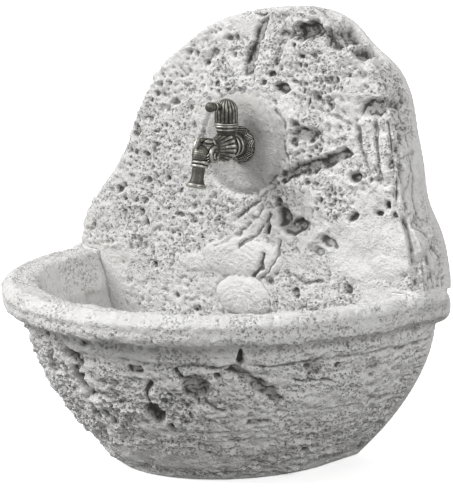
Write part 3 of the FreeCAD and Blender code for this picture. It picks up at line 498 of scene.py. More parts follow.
def slab_relief(points, normals):
    """How far the slab's rock face stands out from its plain shape, and how much of that is hollow, with the boss
    darkened in colour as well.
    """
    across, up = points[:, 0], points[:, 2]
    ragged = layered(points, 9, 3, 11)
    uneven = layered(points, 26, 2, 17)
    astray = strayed(points, across, up, 200)
    from_tap = np.hypot(across - TAP_X, up - TAP_Z).clip(1)
    leftward = rise(-0.6, 0.5, (TAP_X - across) / from_tap)
    boss = rise(BOSS_RADIUS + 4, BOSS_RADIUS - 8, from_tap)
    seat = rise(ROSETTE_RADIUS + 12, ROSETTE_RADIUS + 2, from_tap)
    apron = (4 + 5 * leftward) * rise(BOSS_RADIUS + 60, BOSS_RADIUS + 2, from_tap) * (1 - boss)
    shells = np.zeros_like(across)
    calm = boss * 0.8
    for x, z, half_width, half_height, proud in SLAB_SHELLS:
        reach = np.hypot((astray[0] - x) / half_width, (astray[1] - z) / half_height)
        ribs = 0.45 * np.sin(0.9 * np.hypot(across - x, up - z + half_height)) * rise(1.0, 0.7, reach)
        shells = np.maximum(shells, proud * np.sqrt(np.clip(1 - reach ** 2, 0, 1)) + ribs)
        calm = np.maximum(calm, 0.8 * rise(1.15, 0.9, reach))
    plain = np.maximum(0.6 * rise(-0.1, 0.5, layered(points, 60, 2, 210)), smoothness(*astray, SLAB_SMOOTH))
    rough = (1 - calm) * (1 - plain)
    left = rise(60, -90, across)
    right = rise(-20, 70, across)
    edge = rise(FURROW_FROM - 10, FURROW_FROM + 12, across) * rise(0.3, 0.7, normals[:, 0])
    height = (1 - calm) * (3.8 * layered(points, 75, 3, 1)
                           + 2.4 * (1 - 0.6 * plain) * layered(points, 18, 3, 4))
    height += right * (1 - calm) * 4.5 * (ridges(points, 48, 3, 8) - 0.7)
    height += rough * crumbled(points, 220)
    height += rough * 4.2 * (ridges(points, (24, 24, 17), 3, 12) - 0.62)
    hollow = pored(points, 7, 0.8, 3.4, 20, ragged) * (0.55 + 0.45 * left)
    hollow += pored(points, 15, 0.45, 6.0, 30, ragged) * (0.45 + 0.55 * left)
    hollow += right * pored(points, 24, 0.4, 7.5, 37, ragged)
    hollow *= rough
    hollow += edge * 9 * np.clip(ridges(points, (12, 12, 70), 2, 45) - 0.5, 0, 1)
    hollow = np.maximum(hollow, combed(*astray, points, SLAB_COMBS, 9, 5.5, 50) * (1 - calm))
    eaten = np.maximum(worn(*astray, ragged, SLAB_HOLLOWS),
                       cut_along(*astray, ragged, uneven, SLAB_GROOVES) * (1 - 0.8 * boss))
    hollow = np.maximum(hollow, eaten)
    hollow += calm * 0.6 * pored(points, 6, 0.35, 1.4, 60, ragged)
    corner = rise(0.25, 0.5, normals[:, 0]) * rise(0.25, 0.5, -normals[:, 1])
    hollow += corner * (1 - calm) * 5 * rise(-0.2, 0.5, layered(points, 30, 3, 70))
    height = np.minimum(height + boss * 0.8 * layered(points, 22, 3, 66), 6) * (1 - 0.3 * rise(3, 8, eaten))
    return (height + apron + shells - hollow) * (1 - seat), hollow + 6 * boss, rough


def basin_relief(points, normals):
    """The same for the basin: rock-faced outside, plain inside, finely pitted on the rim."""
    across, up = points[:, 0], points[:, 2]
    out = WALL_Y / MM - points[:, 1]
    depth = RIM_DEPTH - BACK_OF_HOLLOW
    ahead = (out - BACK_OF_HOLLOW) / depth
    around = (90 - np.degrees(np.arctan2(ahead, across / HALF_WIDTH))) * ARC_PER_DEGREE
    outward = np.stack([across / HALF_WIDTH, -np.maximum(ahead, 0)], axis=1)
    outward /= np.linalg.norm(outward, axis=1).clip(1e-6)[:, None]
    facing = (normals[:, :2] * outward).sum(axis=1)
    ragged = layered(points, 9, 3, 111)
    uneven = layered(points, 26, 2, 117)
    astray = strayed(points, around, up, 300)
    rim = rise(RIM_LOW - 4, RIM_LOW + 10, up + 4 * uneven)
    outside = rise(-0.25, 0.25, facing) * (1 - rim)
    inside = (1 - rise(-0.25, 0.25, facing)) * (1 - rim)
    left = rise(90, -40, around)
    plain = smoothness(*astray, BOWL_SMOOTH)
    bedded = layered(points, (60, 60, 5), 3, 104)
    height = outside * (3.6 * layered(points, 70, 3, 101) + 3.6 * layered(points, (20, 20, 13), 3, 105)
                        + (1 - 0.6 * left) * 1.5 * bedded
                        + (1 - plain) * (0.75 + 0.35 * left) * crumbled(points, 320)
                        + (1 - plain) * 4.6 * (ridges(points, (28, 28, 13), 3, 108) - 0.62))
    height += rim * (3.0 * layered(points, 60, 2, 112) + 2.4 * layered(points, 16, 3, 115)
                     + 0.5 * crumbled(points, 340))
    height += inside * 1.4 * layered(points, 34, 3, 118)
    crown = rise(0.1, 0.5, normals[:, 2]) * rise(-0.1, 0.3, facing) * rim
    under = rise(ROLL_LOW + 4, ROLL_LOW - 3, up + 4 * uneven) * rise(RIM_LOW - 2, RIM_LOW + 6, up)
    band = rise(RIM_LOW - 18, RIM_LOW - 10, up + 5 * uneven) * rise(RIM_LOW + 10, RIM_LOW + 2, up)
    height += 5 * crown + rise(-0.1, 0.4, facing) * (4.5 * band - 7 * under)
    hollow = pored(points, 7, 0.8, 3.4, 120, ragged) * (0.35 + 0.65 * left)
    hollow += pored(points, 16, 0.45, 6.5, 130, ragged) * (0.3 + 0.7 * left)
    hollow += left * pored(points, 26, 0.55, 9, 137, ragged)
    hollow += (1 - left) * 2.6 * rise(0.1, 0.5, layered(points, (34, 34, 11), 3, 140))
    hollow *= 1 - plain
    hollow += 4 * rise(5, 1, np.abs(up - RIM_LOW + 17 + 5 * uneven) + 3 * ragged) * rise(-0.4, 0.3, uneven)
    hollow = np.maximum(hollow, combed(*astray, points, BOWL_COMBS, 10, 5.5, 150))
    hollow = np.maximum(hollow, worn(*astray, ragged, BOWL_HOLLOWS))
    hollow = np.maximum(hollow, cut_along(*astray, ragged, uneven, BOWL_GROOVES))
    hollow *= outside
    hollow += rim * pored(points, 6.5, 0.6, 2.6, 160, ragged)
    hollow += rise(-0.1, 0.4, facing) * 3 * rise(4, 0.5, np.abs(up - ROLL_LOW + 4 * uneven) + 2 * ragged)
    hollow += rim * rise(-0.2, 0.2, facing) * worn(*astray, ragged, RIM_CHIPS)
    hollow += inside * 0.5 * pored(points, 8, 0.3, 1.6, 170, ragged)
    shoulder = rise(BACK_OF_HOLLOW + 22, BACK_OF_HOLLOW - 6, out) * rise(RIM_TOP - 24, RIM_TOP - 4, up)
    height = (np.minimum(height, 5) - hollow) * (1 - 0.7 * shoulder) + 9 * shoulder * rise(-0.2, 0.3, facing)
    # The second value also holds painted shade: the whole inside darker, and darker still towards its left end.
    return (height, hollow + 3.5 * inside * rise(-150, -190, across) + 1.2 * inside,
            (1 - plain) * (0.25 * inside + 0.55 * rim + outside))


def slab_hold(points):
    """1 where the slab may be carved and 0 on its flat back, its fixings and its bed."""
    across, up = np.abs(points[:, 0]), points[:, 2]
    out = WALL_Y / MM - points[:, 1]
    above_rim = rise(RIM_TOP + 3, RIM_TOP + 9, up)
    in_hollow = (rise(220, 190, across) * rise(FLOOR_OF_HOLLOW + 8, FLOOR_OF_HOLLOW + 24, up)
                 * rise(50, 66, out))
    return rise(6, 20, out) * np.maximum(above_rim, in_hollow)


def basin_hold(points):
    """1 where the basin may be carved and 0 at the wall, under the slab, underneath and round the waste."""
    across, up = points[:, 0], points[:, 2]
    out = WALL_Y / MM - points[:, 1]
    waste = np.hypot(across - WASTE_AT[0], out - WASTE_AT[1])
    low_down = rise(FLOOR_OF_HOLLOW + 12, FLOOR_OF_HOLLOW + 4, up)
    hold = (rise(5, 16, out) * rise(1, 9, up)
            * (1 - low_down * rise(WASTE_RADIUS + 22, WASTE_RADIUS + 10, waste)))
    bed = rise(BACK_OF_HOLLOW + 6, BACK_OF_HOLLOW - 4, out) * rise(RIM_TOP - 6, RIM_TOP - 1, up)
    bed *= rise(HALF_WIDTH - 12, HALF_WIDTH - 20, np.abs(across))
    return hold * (1 - bed)


def carved(node, name, relief, hold, settings):
    """A stone with its rock face, worked from the plain CAD solid."""
    obj = even_faces(copied(node, name), settings.face_size / MM)
    mesh = obj.data
    plain = corners(mesh)
    may_move = hold(plain / MM)
    soft = eased(mesh, plain, may_move, settings.easing)
    move_corners(mesh, soft)
    normals = read(mesh.vertex_normals, "vector").copy()
    height, hollow, rough = relief(soft / MM, normals)
    carving = settings.relief * may_move * height * MM
    move_corners(mesh, soft + normals * carving[:, None])
    # The hollow value darkens the stone's colour in its finish: painted shade in the hollows, partly dirt.
    keep_values(mesh, "hollow", may_move * np.clip(hollow / 9, 0, 1))
    keep_values(mesh, "rough", may_move * np.clip(rough, 0, 1))
    thinned(obj, settings.triangles)
    return mark_ridges(obj, 5)


def bedding():
    """The mortar bed, struck off flush with both stones and rough like them."""
    obj = even_faces(copied("bed_mortar", "bedding"), 2.4)
    mesh = obj.data
    points = corners(mesh) / MM
    normals = read(mesh.vertex_normals, "vector").copy()
    out = WALL_Y / MM - points[:, 1]
    at_joint = rise(RIM_TOP - 6, RIM_TOP - 1, points[:, 2])
    at_end = at_joint * rise(HALF_WIDTH - 30, HALF_WIDTH - 16, np.abs(points[:, 0]))
    rough = layered(points, 12, 3, 400)
    sideways = np.sign(points[:, 0]) * at_end * (10 + rough)
    upward = np.sign(normals[:, 2]) * rise(0.2, 0.8, np.abs(normals[:, 2])) * at_end * 6
    forward = at_joint * rise(0.2, 0.8, -normals[:, 1]) * (3 + 2 * rough)
    moved = points + np.stack([sideways, -forward * rise(3, 8, out), upward], axis=1)
    move_corners(mesh, moved * MM)
    keep_values(mesh, "hollow", np.full(len(points), 0.1, np.float32))
    keep_values(mesh, "rough", np.full(len(points), 0.6, np.float32))
    return mark_ridges(obj, 4)


# ================================================================ the tap
def ruff(settings):
    """Scallop-shell collar: ribs that widen towards the wall and end in a scalloped edge."""
    def ribs(radius, height, angle):
        wave = np.abs(np.sin(settings.ribs * angle / 2))
        spread = np.clip((radius - 9) / 11, 0, 1)
        return radius * (1 + 0.13 * spread * (wave - 0.6)), height - 1.6 * spread * wave

    edge = in_steps(rounded([(0, 67), (9.0, 66), (10.2, 60), (12.5, 52), (16, 45), (19.4, 39.5), (20.4, 36.5),
                             (18, 34.5), (9, 36), (0, 36)], 2), 0.7)
    return turned("ruff", edge, TAP_FOOT, FORWARD, 224, ribs)


def head_parts():
    """A plain sea-beast's head that looks forward and down, in parts to be cast together."""
    parts = [
        egg("skull", tap_place(0, 70, 1), (14.5, 19, 15), -12),
        egg("muzzle", tap_place(0, 84, -5), (12, 13, 14.5), -20),
        egg("jaw", tap_place(0, 86, -15), (12.5, 11.5, 6), -12),
        egg("snout_tip", tap_place(0, 93, 12), (3.2, 3.6, 9.0), -34),
        egg("crest", tap_place(0, 79, 14), (3.4, 14, 3.6), -8),
    ]
    for side in (-1, 1):
        parts.append(egg("brow", tap_place(side * 9.5, 78, 12.5), (2.8, 10.0, 2.6), -10))
        parts.append(egg("brow_end", tap_place(side * 11.0, 70, 8.5), (2.6, 2.6, 6.5), 24))
        parts.append(egg("eye", tap_place(side * 8.2, 80, 6.0), (2.2, 2.2, 2.2)))
        parts.append(hoop("cheek", tap_place(side * 12.5, 72, -5), Vector((side, 0.2, 0)), 9.5, 2.8))
        parts.append(hoop("gill", tap_place(side * 11.5, 67, -7), Vector((side, 0.2, 0)), 5.6, 2.0))
        for k in range(4):
            centre = tap_place(side * (12.4 - 0.8 * k), 80 - 1.5 * k, -0.5 - 4.4 * k)
            parts.append(egg("fold", centre, (2.2, 9.5, 1.4), 36 - 6 * k, 0, 24))
    return parts


NOZZLE_LOW, NOZZLE_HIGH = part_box("spout_nozzle")
NOZZLE_TILT = math.radians(14)
NOZZLE_UP = Vector((0, math.sin(NOZZLE_TILT), math.cos(NOZZLE_TILT)))
LIP_RADIUS = (NOZZLE_HIGH.x - NOZZLE_LOW.x) / 2 / MM
NOZZLE_LENGTH = 30
NOZZLE_LIP = Vector((TAP_FOOT.x, NOZZLE_LOW.y + LIP_RADIUS * math.cos(NOZZLE_TILT) * MM,
                     NOZZLE_LOW.z + LIP_RADIUS * math.sin(NOZZLE_TILT) * MM))


def tap_casting(settings):
    """Neck, valve barrel, chimney, ruff and head, cast in one."""
    shank_end = (TAP_FOOT.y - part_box("tap_body")[1].y) / MM
    stem_foot = tap_place(0, STEM, 0)
    neck = rounded([(0, shank_end), (10.4, shank_end), (10.4, -1), (10.4, 6), (12.4, 7), (13.8, 9),
                    (13.8, 11.5),
                    (12.2, 13), (12.2, STEM), (12.6, 50), (0, 54)], 1)
    chimney = rounded([(0, 0), (12.8, 0), (13.0, 10), (12.2, 15), (12.2, 19), (13.4, 22), (14.4, 25),
                       (0, 25)], 2)
    mouth = NOZZLE_LIP + NOZZLE_UP * (NOZZLE_LENGTH - 1) * MM
    parts = [
        turned("neck", neck, TAP_FOOT, FORWARD),
        egg("barrel", stem_foot, (15.4, 16, 15)),
        hoop("barrel_ring", tap_place(0, 21, 0), FORWARD, 14.2, 1.6, 96),
        turned("chimney", chimney, stem_foot, UP),
        ruff(settings),
        hoop("mouth_ring", mouth, NOZZLE_UP, 9.6, 2.3),
    ]
    obj = thinned(cast("tap_casting", parts + head_parts(), settings.face_size / MM, 1), PIECE_TRIANGLES)
    return mark_ridges(obj, 4)


def rosette(settings):
    """Cover plate with leaves that curl over its edge."""
    def leaves(radius, height, angle):
        turn = settings.leaves * angle / 2
        lobe = np.abs(np.cos(turn))
        vein = np.exp(-(np.sin(turn) / 0.16) ** 2) * 1.2
        side_veins = 0.8 * np.sin(2.4 * radius + 9 * lobe)
        out = rise(12, 22, radius) * (height > 0.5)
        proud = out * (3.0 * lobe + vein + side_veins - 2.8) + 0.4 * (height > 0.5)
        return radius * (1 - 0.045 * out * (1 - lobe ** 0.5)), height + proud

    profile = in_steps(rounded([(11, 0), (24.6, 0), (25.7, 1.2), (25.6, 2.8), (23, 5.2), (19, 6.4),
                                (15.5, 6.6),
                                (14, 8.2), (12.4, 8.2), (11, 6)], 2), 0.5)
    obj = turned("rosette", profile, TAP_FOOT, FORWARD, 320, leaves, ring=True)
    return mark_ridges(obj, 4)


def nozzle():
    """Flared nozzle with a bore, four flats and a thick lip."""
    def flats(radius, height, angle):
        outer = (radius > 7) * rise(3, 8, height)
        return radius * (1 - 0.06 * outer * (1 - np.abs(np.cos(2 * angle)))), height

    lip = LIP_RADIUS
    profile = in_steps(rounded([(5.8, 0), (lip - 1, 0), (lip, 1), (lip, 4.0), (lip - 1.4, 5.6), (9.8, 9),
                                (9.0, 13), (8.7, 20), (9.3, 25), (9.0, NOZZLE_LENGTH),
                                (5.8, NOZZLE_LENGTH)], 2), 0.6)
    obj = turned("nozzle", profile, NOZZLE_LIP, NOZZLE_UP, 144, flats, ring=True)
    return mark_ridges(obj, 4)


def bonnet():
    """Screwed bonnet with a turned flange, under the handle."""
    top, side = FLANGE_TOP, FLANGE_RADIUS
    foot = (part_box("valve_bonnet")[0].z - TAP_FOOT.z) / MM
    under = top - 5
    profile = in_steps([(4.1, top), (side - 0.8, top), (side, top - 0.8), (side, top - 2.2),
                        (side - 0.9, top - 3), (14.2, top - 3.4), (14.2, under), (9.4, under),
                        (9.4, foot), (7, foot), (7, top - 4), (4.1, top - 4)], 0.8)
    obj = turned("bonnet", profile, tap_place(0, STEM, 0), UP, 144, ring=True)
    return mark_ridges(obj, 4)


def handle(settings):
    """Fluted hollow cap with a short lever and its knob."""
    inside = [(0, CAP_TOP - 3), (4, CAP_TOP - 3.1), (8, CAP_TOP - 5), (11, CAP_TOP - 8.5),
              (12.6, CAP_TOP - 14),
              (CAP_RADIUS - 3, CAP_TOP - 18), (CAP_RADIUS - 3, CAP_BASE)]
    outside = rounded([(CAP_RADIUS - 3, CAP_BASE), (CAP_RADIUS - 0.2, CAP_BASE), (CAP_RADIUS, CAP_BASE + 1),
                       (CAP_RADIUS, CAP_BASE + 1.8), (CAP_RADIUS - 1.2, CAP_BASE + 2.6),
                       (CAP_RADIUS - 0.3, CAP_BASE + 4),
                       (CAP_RADIUS - 0.3, CAP_TOP - 17), (CAP_RADIUS - 1.2, CAP_TOP - 11),
                       (12, CAP_TOP - 5.6),
                       (8, CAP_TOP - 2), (3, CAP_TOP), (0, CAP_TOP)], 2)
    inside, outside = in_steps(inside, 0.8), in_steps(outside, 0.5)
    worked = np.arange(len(inside) + len(outside))[:, None] > len(inside)

    def flutes(radius, height, angle):
        wave = np.abs(np.sin(settings.flutes * angle / 2)) ** 0.7
        deep = worked * rise(CAP_BASE + 2.2, CAP_BASE + 4, height) * rise(1.5, 6, radius)
        return radius - 1.7 * deep * (1 - wave), height

    stem = tap_place(0, STEM, 0)
    cap = turned("cap", inside + outside, stem, UP, 288, flutes)
    hub = turned("hub", [(4.02, 36), (7, 36), (7, CAP_TOP - 2), (4.02, CAP_TOP - 2)], stem, UP, 48, ring=True)
    tip = LEVER_TIP - STEM
    lever_profile = rounded([(0, CAP_RADIUS - 2.4), (4.6, CAP_RADIUS - 2.4), (4.4, tip - 17),
                             (6.2, tip - 16.4),
                             (6.4, tip - 14.6), (4.8, tip - 13.6), (4.6, tip - 12), (6.6, tip - 9.4),
                             (6.9, tip - 6),
                             (6.2, tip - 2.4), (3, tip - 0.1), (0, tip)], 2)
    lever_z = (CAP_HIGH.z - TAP_FOOT.z) / MM - 8.5
    lever = turned("lever", lever_profile, tap_place(0, STEM, lever_z), FORWARD, 96)
    obj = cast("handle_fluted", [cap, hub, lever], settings.face_size / MM, 1)
    return mark_ridges(obj, 4, 0.6)


# ================================================================ finishes
def put(tree, kind, inputs=None, **settings):
    """Adds a shader node; an input is a value, or another node's output to link."""
    node = tree.nodes.new(kind)
    node.location = (220 * (len(tree.nodes) % 8), -260 * (len(tree.nodes) // 8))
    for key, value in settings.items():
        setattr(node, key, value)
    for key, value in (inputs or {}).items():
        if isinstance(value, bpy.types.NodeSocket):
            tree.links.new(value, node.inputs[key])
        else:
            node.inputs[key].default_value = value
    return node


def math_of(tree, operation, first, second=0.0, clamp=False):
    return put(tree, "ShaderNodeMath", {0: first, 1: second}, operation=operation, use_clamp=clamp).outputs[0]


def stepped(tree, value, low, high):
    """0 at low and 1 at high, smooth between."""
    return put(tree, "ShaderNodeMapRange", {"Value": value, "From Min": low, "From Max": high},
               interpolation_type="SMOOTHSTEP").outputs["Result"]


def blended(tree, share, first, second, how="MIX"):
    """Two colours mixed."""
    mix = put(tree, "ShaderNodeMix", {0: share, 6: first, 7: second}, data_type="RGBA", blend_type=how)
    return mix.outputs[2]


def effect(name, inputs, outputs):
    """An empty shared node group: (name, kind, default) for each input, (name, kind) for each output."""
    tree = bpy.data.node_groups.new(name, "ShaderNodeTree")
    for label, kind, default in inputs:
        tree.interface.new_socket(label, in_out="INPUT", socket_type=kind).default_value = default
    for label, kind in outputs:
        tree.interface.new_socket(label, in_out="OUTPUT", socket_type=kind)
    return tree, tree.nodes.new("NodeGroupInput").outputs, tree.nodes.new("NodeGroupOutput")


def stone_grain():
    """Fine grain, pinholes and soft stains of cast stone, in the object's own coordinates."""
    tree, given, out = effect(
        "Stone grain",
        [("Pinholes", "NodeSocketFloat", 1.0), ("Stains", "NodeSocketFloat", 1.0)],
        [("Height", "NodeSocketFloat"), ("Pinhole", "NodeSocketFloat"), ("Stain", "NodeSocketFloat"),
         ("Speckle", "NodeSocketFloat")])
    at = put(tree, "ShaderNodeTexCoord").outputs["Object"]
    grain = put(tree, "ShaderNodeTexNoise", {"Vector": at, "Scale": 420.0, "Detail": 5.0, "Roughness": 0.7})
    coarse = put(tree, "ShaderNodeTexNoise", {"Vector": at, "Scale": 110.0, "Detail": 4.0, "Roughness": 0.65})
    where = put(tree, "ShaderNodeTexNoise", {"Vector": at, "Scale": 17.0, "Detail": 4.0, "Roughness": 0.7})
    warp = put(tree, "ShaderNodeVectorMath", {0: coarse.outputs["Color"], "Scale": 0.004}, operation="SCALE")
    bent = put(tree, "ShaderNodeVectorMath", {0: at, 1: warp.outputs[0]}, operation="ADD").outputs[0]
    cells = put(tree, "ShaderNodeTexVoronoi", {"Vector": bent, "Scale": 230.0})
    holes = stepped(tree, cells.outputs["Distance"], 0.46, 0.2)
    here = stepped(tree, where.outputs[0], 0.40, 0.58)
    # The pinhole mask is also used for painted shade in the pinholes, besides the bump.
    pinhole = math_of(tree, "MULTIPLY", math_of(tree, "MULTIPLY", holes, here), given["Pinholes"], True)
    stain = put(tree, "ShaderNodeTexNoise", {"Vector": at, "Scale": 11.0, "Detail": 6.0, "Roughness": 0.6})
    cloud = stepped(tree, stain.outputs[0], 0.40, 0.68)
    coarseness = math_of(tree, "MULTIPLY", coarse.outputs[0], 1.25)
    uneven = math_of(tree, "ADD", math_of(tree, "MULTIPLY", grain.outputs[0], 0.5), coarseness)
    height = math_of(tree, "SUBTRACT", uneven, math_of(tree, "MULTIPLY", pinhole, 1.1))
    tree.links.new(height, out.inputs["Height"])
    tree.links.new(pinhole, out.inputs["Pinhole"])
    tree.links.new(math_of(tree, "MULTIPLY", cloud, given["Stains"], True), out.inputs["Stain"])
    tree.links.new(stepped(tree, grain.outputs[0], 0.35, 0.7), out.inputs["Speckle"])
    return tree


def handled_metal():
    """Wear of handled metal: where edges are rubbed bright, partly a painted highlight, where dirt stays, fine
    casting grain.
    """
    tree, given, out = effect(
        "Handled metal",
        [("Ridge", "NodeSocketFloat", 0.5), ("Rubbing", "NodeSocketFloat", 1.0),
         ("Grain", "NodeSocketFloat", 900.0)],
        [("Rubbed", "NodeSocketFloat"), ("Dirt", "NodeSocketFloat"), ("Height", "NodeSocketFloat"),
         ("Scratch", "NodeSocketFloat")])
    at = put(tree, "ShaderNodeTexCoord").outputs["Object"]
    patch = put(tree, "ShaderNodeTexNoise", {"Vector": at, "Scale": 140.0, "Detail": 4.0, "Roughness": 0.65})
    fine = put(tree, "ShaderNodeTexNoise",
               {"Vector": at, "Scale": given["Grain"], "Detail": 4.0, "Roughness": 0.6})
    streaks = put(tree, "ShaderNodeMapping", {"Vector": at, "Scale": (300.0, 300.0, 2600.0)})
    scratch = put(tree, "ShaderNodeTexNoise", {"Vector": streaks.outputs[0], "Scale": 1.0, "Detail": 2.0})
    uneven = math_of(tree, "MULTIPLY", math_of(tree, "SUBTRACT", patch.outputs[0], 0.5), 0.5)
    edge = math_of(tree, "ADD", given["Ridge"], uneven)
    rubbed = math_of(tree, "MULTIPLY", stepped(tree, edge, 0.56, 0.86), given["Rubbing"], True)
    height = math_of(tree, "ADD", fine.outputs[0], math_of(tree, "MULTIPLY", patch.outputs[0], 0.6))
    tree.links.new(rubbed, out.inputs["Rubbed"])
    tree.links.new(stepped(tree, edge, 0.5, 0.22), out.inputs["Dirt"])
    tree.links.new(height, out.inputs["Height"])
    tree.links.new(stepped(tree, scratch.outputs[0], 0.52, 0.7), out.inputs["Scratch"])
    return tree


def shared(name, make):
    return bpy.data.node_groups.get(name) or make()


def new_finish(name):
    material = bpy.data.materials.new(name)
    material.use_nodes = True
    material.node_tree.nodes.clear()
    return material, material.node_tree


def ended(tree, inputs, height, strength, distance):
    """Closes a finish with its bump, its shader and the output."""
    bump = put(tree, "ShaderNodeBump", {"Height": height, "Strength": strength, "Distance": distance})
    shader = put(tree, "ShaderNodeBsdfPrincipled", {**inputs, "Normal": bump.outputs[0]})
    put(tree, "ShaderNodeOutputMaterial", {"Surface": shader.outputs[0]})


def coloured(rgb):
    return (*rgb, 1.0)


def rock_finish(settings):
    """Pale cast stone: light faces, with painted shade, partly dirt, darker and warmer in the hollows, painted
    shade in the creases and pinholes, a painted highlight on the crests, stained and pinholed.
    """
    material, tree = new_finish("Cast stone, rock faced")
    rough = put(tree, "ShaderNodeAttribute", attribute_name="rough").outputs["Fac"]
    pinholes = math_of(tree, "ADD", math_of(tree, "MULTIPLY", rough, 0.9), 0.12, True)
    grain = put(tree, "ShaderNodeGroup", {"Pinholes": pinholes, "Stains": 1.0},
                node_tree=shared("Stone grain", stone_grain)).outputs
    # Painted shade, partly dirt: the hollow value darkens the colour towards the hollows' colour.
    hollow = put(tree, "ShaderNodeAttribute", attribute_name="hollow").outputs["Fac"]
    ridge = put(tree, "ShaderNodeAttribute", attribute_name="ridge").outputs["Fac"]
    pale, deep, stain = (coloured(c) for c in (settings.pale, settings.deep, settings.stain))
    face = blended(tree, math_of(tree, "MULTIPLY", grain["Stain"], 0.55), pale, stain)
    # Painted shade in the creases: corners that lie below their surroundings are darkened.
    low = stepped(tree, ridge, 0.42, 0.05)
    shade = math_of(tree, "ADD", math_of(tree, "MULTIPLY", stepped(tree, hollow, 0.15, 1.0), 0.55),
                    math_of(tree, "MULTIPLY", low, 0.5), True)
    face = blended(tree, shade, face, deep)
    # Painted shade in the pinholes: they are darkened towards the hollows' colour.
    face = blended(tree, math_of(tree, "MULTIPLY", grain["Pinhole"], 0.36), face, deep)
    # Painted highlight: the crests are lightened towards near white.
    crest = stepped(tree, ridge, 0.62, 0.98)
    face = blended(tree, math_of(tree, "MULTIPLY", crest, 0.45), face, (0.93, 0.93, 0.92, 1.0))
    face = blended(tree, math_of(tree, "MULTIPLY", grain["Speckle"], 0.16), face, (0.30, 0.29, 0.27, 1.0),
                   "MULTIPLY")
    roughness = math_of(tree, "ADD", 0.84, math_of(tree, "MULTIPLY", grain["Speckle"], 0.14))
    ended(tree, {"Base Color": face, "Roughness": roughness, "Specular IOR Level": 0.25},
          grain["Height"], 1.0, 0.0036)
    return material


def mortar_finish():
    """Fine bedding mortar."""
    material, tree = new_finish("Bedding mortar")
    grain = put(tree, "ShaderNodeGroup", {"Pinholes": 0.5, "Stains": 0.7},
                node_tree=shared("Stone grain", stone_grain)).outputs
    face = blended(tree, grain["Stain"], (0.52, 0.50, 0.47, 1.0), (0.36, 0.345, 0.32, 1.0))
    # Painted shade in the pinholes: they are darkened towards dark grey.
    face = blended(tree, math_of(tree, "MULTIPLY", grain["Pinhole"], 0.6), face, (0.16, 0.155, 0.145, 1.0))
    roughness = math_of(tree, "ADD", 0.86, math_of(tree, "MULTIPLY", grain["Speckle"], 0.12))
    ended(tree, {"Base Color": face, "Roughness": roughness}, grain["Height"], 0.6, 0.0008)
    return material


def bronze_finish(settings):
    """Dark antiqued bronze, rubbed bright on its raised edges, partly a painted highlight."""
    material, tree = new_finish("Antiqued bronze")
    ridge = put(tree, "ShaderNodeAttribute", attribute_name="ridge").outputs["Fac"]
    wear = put(tree, "ShaderNodeGroup", {"Ridge": ridge, "Rubbing": settings.rubbing_and_highlight, "Grain": 900.0},
               node_tree=shared("Handled metal", handled_metal)).outputs
    face = blended(tree, wear["Dirt"], coloured(settings.bronze), (0.018, 0.017, 0.015, 1.0))
    # Rubbed wear and painted highlight: the raised edges are lightened towards the rubbed colour.
    face = blended(tree, wear["Rubbed"], face, coloured(settings.rubbed))
    face = blended(tree, math_of(tree, "MULTIPLY", wear["Scratch"], 0.12), face, coloured(settings.rubbed))
    roughness = math_of(tree, "SUBTRACT", 0.56, math_of(tree, "MULTIPLY", wear["Rubbed"], 0.20))
    roughness = math_of(tree, "ADD", roughness, math_of(tree, "MULTIPLY", wear["Dirt"], 0.2))
    ended(tree, {"Base Color": face, "Roughness": roughness, "Metallic": 0.85}, wear["Height"], 0.35, 0.0004)
    return material


def fitting_finish(name, face, tarnish, metallic, roughness):
    """A plain fitting's finish: machined, plated or moulded, with tarnish or dust in patches."""
    material, tree = new_finish(name)
    wear = put(tree, "ShaderNodeGroup", {"Ridge": 0.5, "Rubbing": 1.0, "Grain": 1400.0},
               node_tree=shared("Handled metal", handled_metal)).outputs
    colour = blended(tree, math_of(tree, "MULTIPLY", wear["Dirt"], 0.7), coloured(face), coloured(tarnish))
    colour = blended(tree, math_of(tree, "MULTIPLY", wear["Scratch"], 0.15), colour, coloured(tarnish))
    varied = math_of(tree, "ADD", roughness, math_of(tree, "MULTIPLY", wear["Dirt"], 0.18))
    ended(tree, {"Base Color": colour, "Roughness": varied, "Metallic": metallic}, wear["Height"], 0.2,
          0.0002)
    return material


# Each plain fitting's finish, by the record's slot: name, colour, tarnish, metallic, roughness
FITTING_FINISHES = {
    "plain_brass": ("Machined brass", (0.72, 0.52, 0.24), (0.34, 0.24, 0.12), 1.0, 0.30),
    "stainless": ("Brushed stainless steel", (0.62, 0.61, 0.59), (0.38, 0.37, 0.35), 1.0, 0.32),
    "zinc_steel": ("Zinc-plated steel", (0.55, 0.56, 0.57), (0.36, 0.37, 0.38), 0.9, 0.42),
    "rubber": ("Black rubber", (0.03, 0.03, 0.03), (0.10, 0.10, 0.09), 0.0, 0.72),
    "fibre": ("Red fibre", (0.42, 0.11, 0.07), (0.24, 0.08, 0.06), 0.0, 0.80),
    "valve_ceramic": ("Valve ceramic", (0.86, 0.86, 0.82), (0.62, 0.61, 0.57), 0.0, 0.22),
    "plug_plastic": ("Moulded nylon", (0.42, 0.42, 0.42), (0.28, 0.28, 0.27), 0.0, 0.55),
}


def lamp(name, strength, width, towards):
    """A soft distant light, shining from that side."""
    light = bpy.data.lights.new(name, "SUN")
    light.energy = strength
    light.angle = width
    obj = bpy.data.objects.new(name, light)
    obj.rotation_euler = Vector(towards).to_track_quat("Z", "Y").to_euler()
    bpy.context.scene.collection.objects.link(obj)
    return obj


def studio_light(sky):
    """Even light from all round, in a studio that looks white."""
    world = bpy.data.worlds.new("Even studio light")
    world.use_nodes = True
    tree = world.node_tree
    tree.nodes.clear()
    seen = put(tree, "ShaderNodeLightPath").outputs["Is Camera Ray"]
    strength = math_of(tree, "ADD", math_of(tree, "MULTIPLY", seen, 1.0 - sky), sky)
    light = put(tree, "ShaderNodeBackground", {"Color": (1.0, 1.0, 1.0, 1.0), "Strength": strength})
    put(tree, "ShaderNodeOutputWorld", {"Surface": light.outputs[0]})
    return world


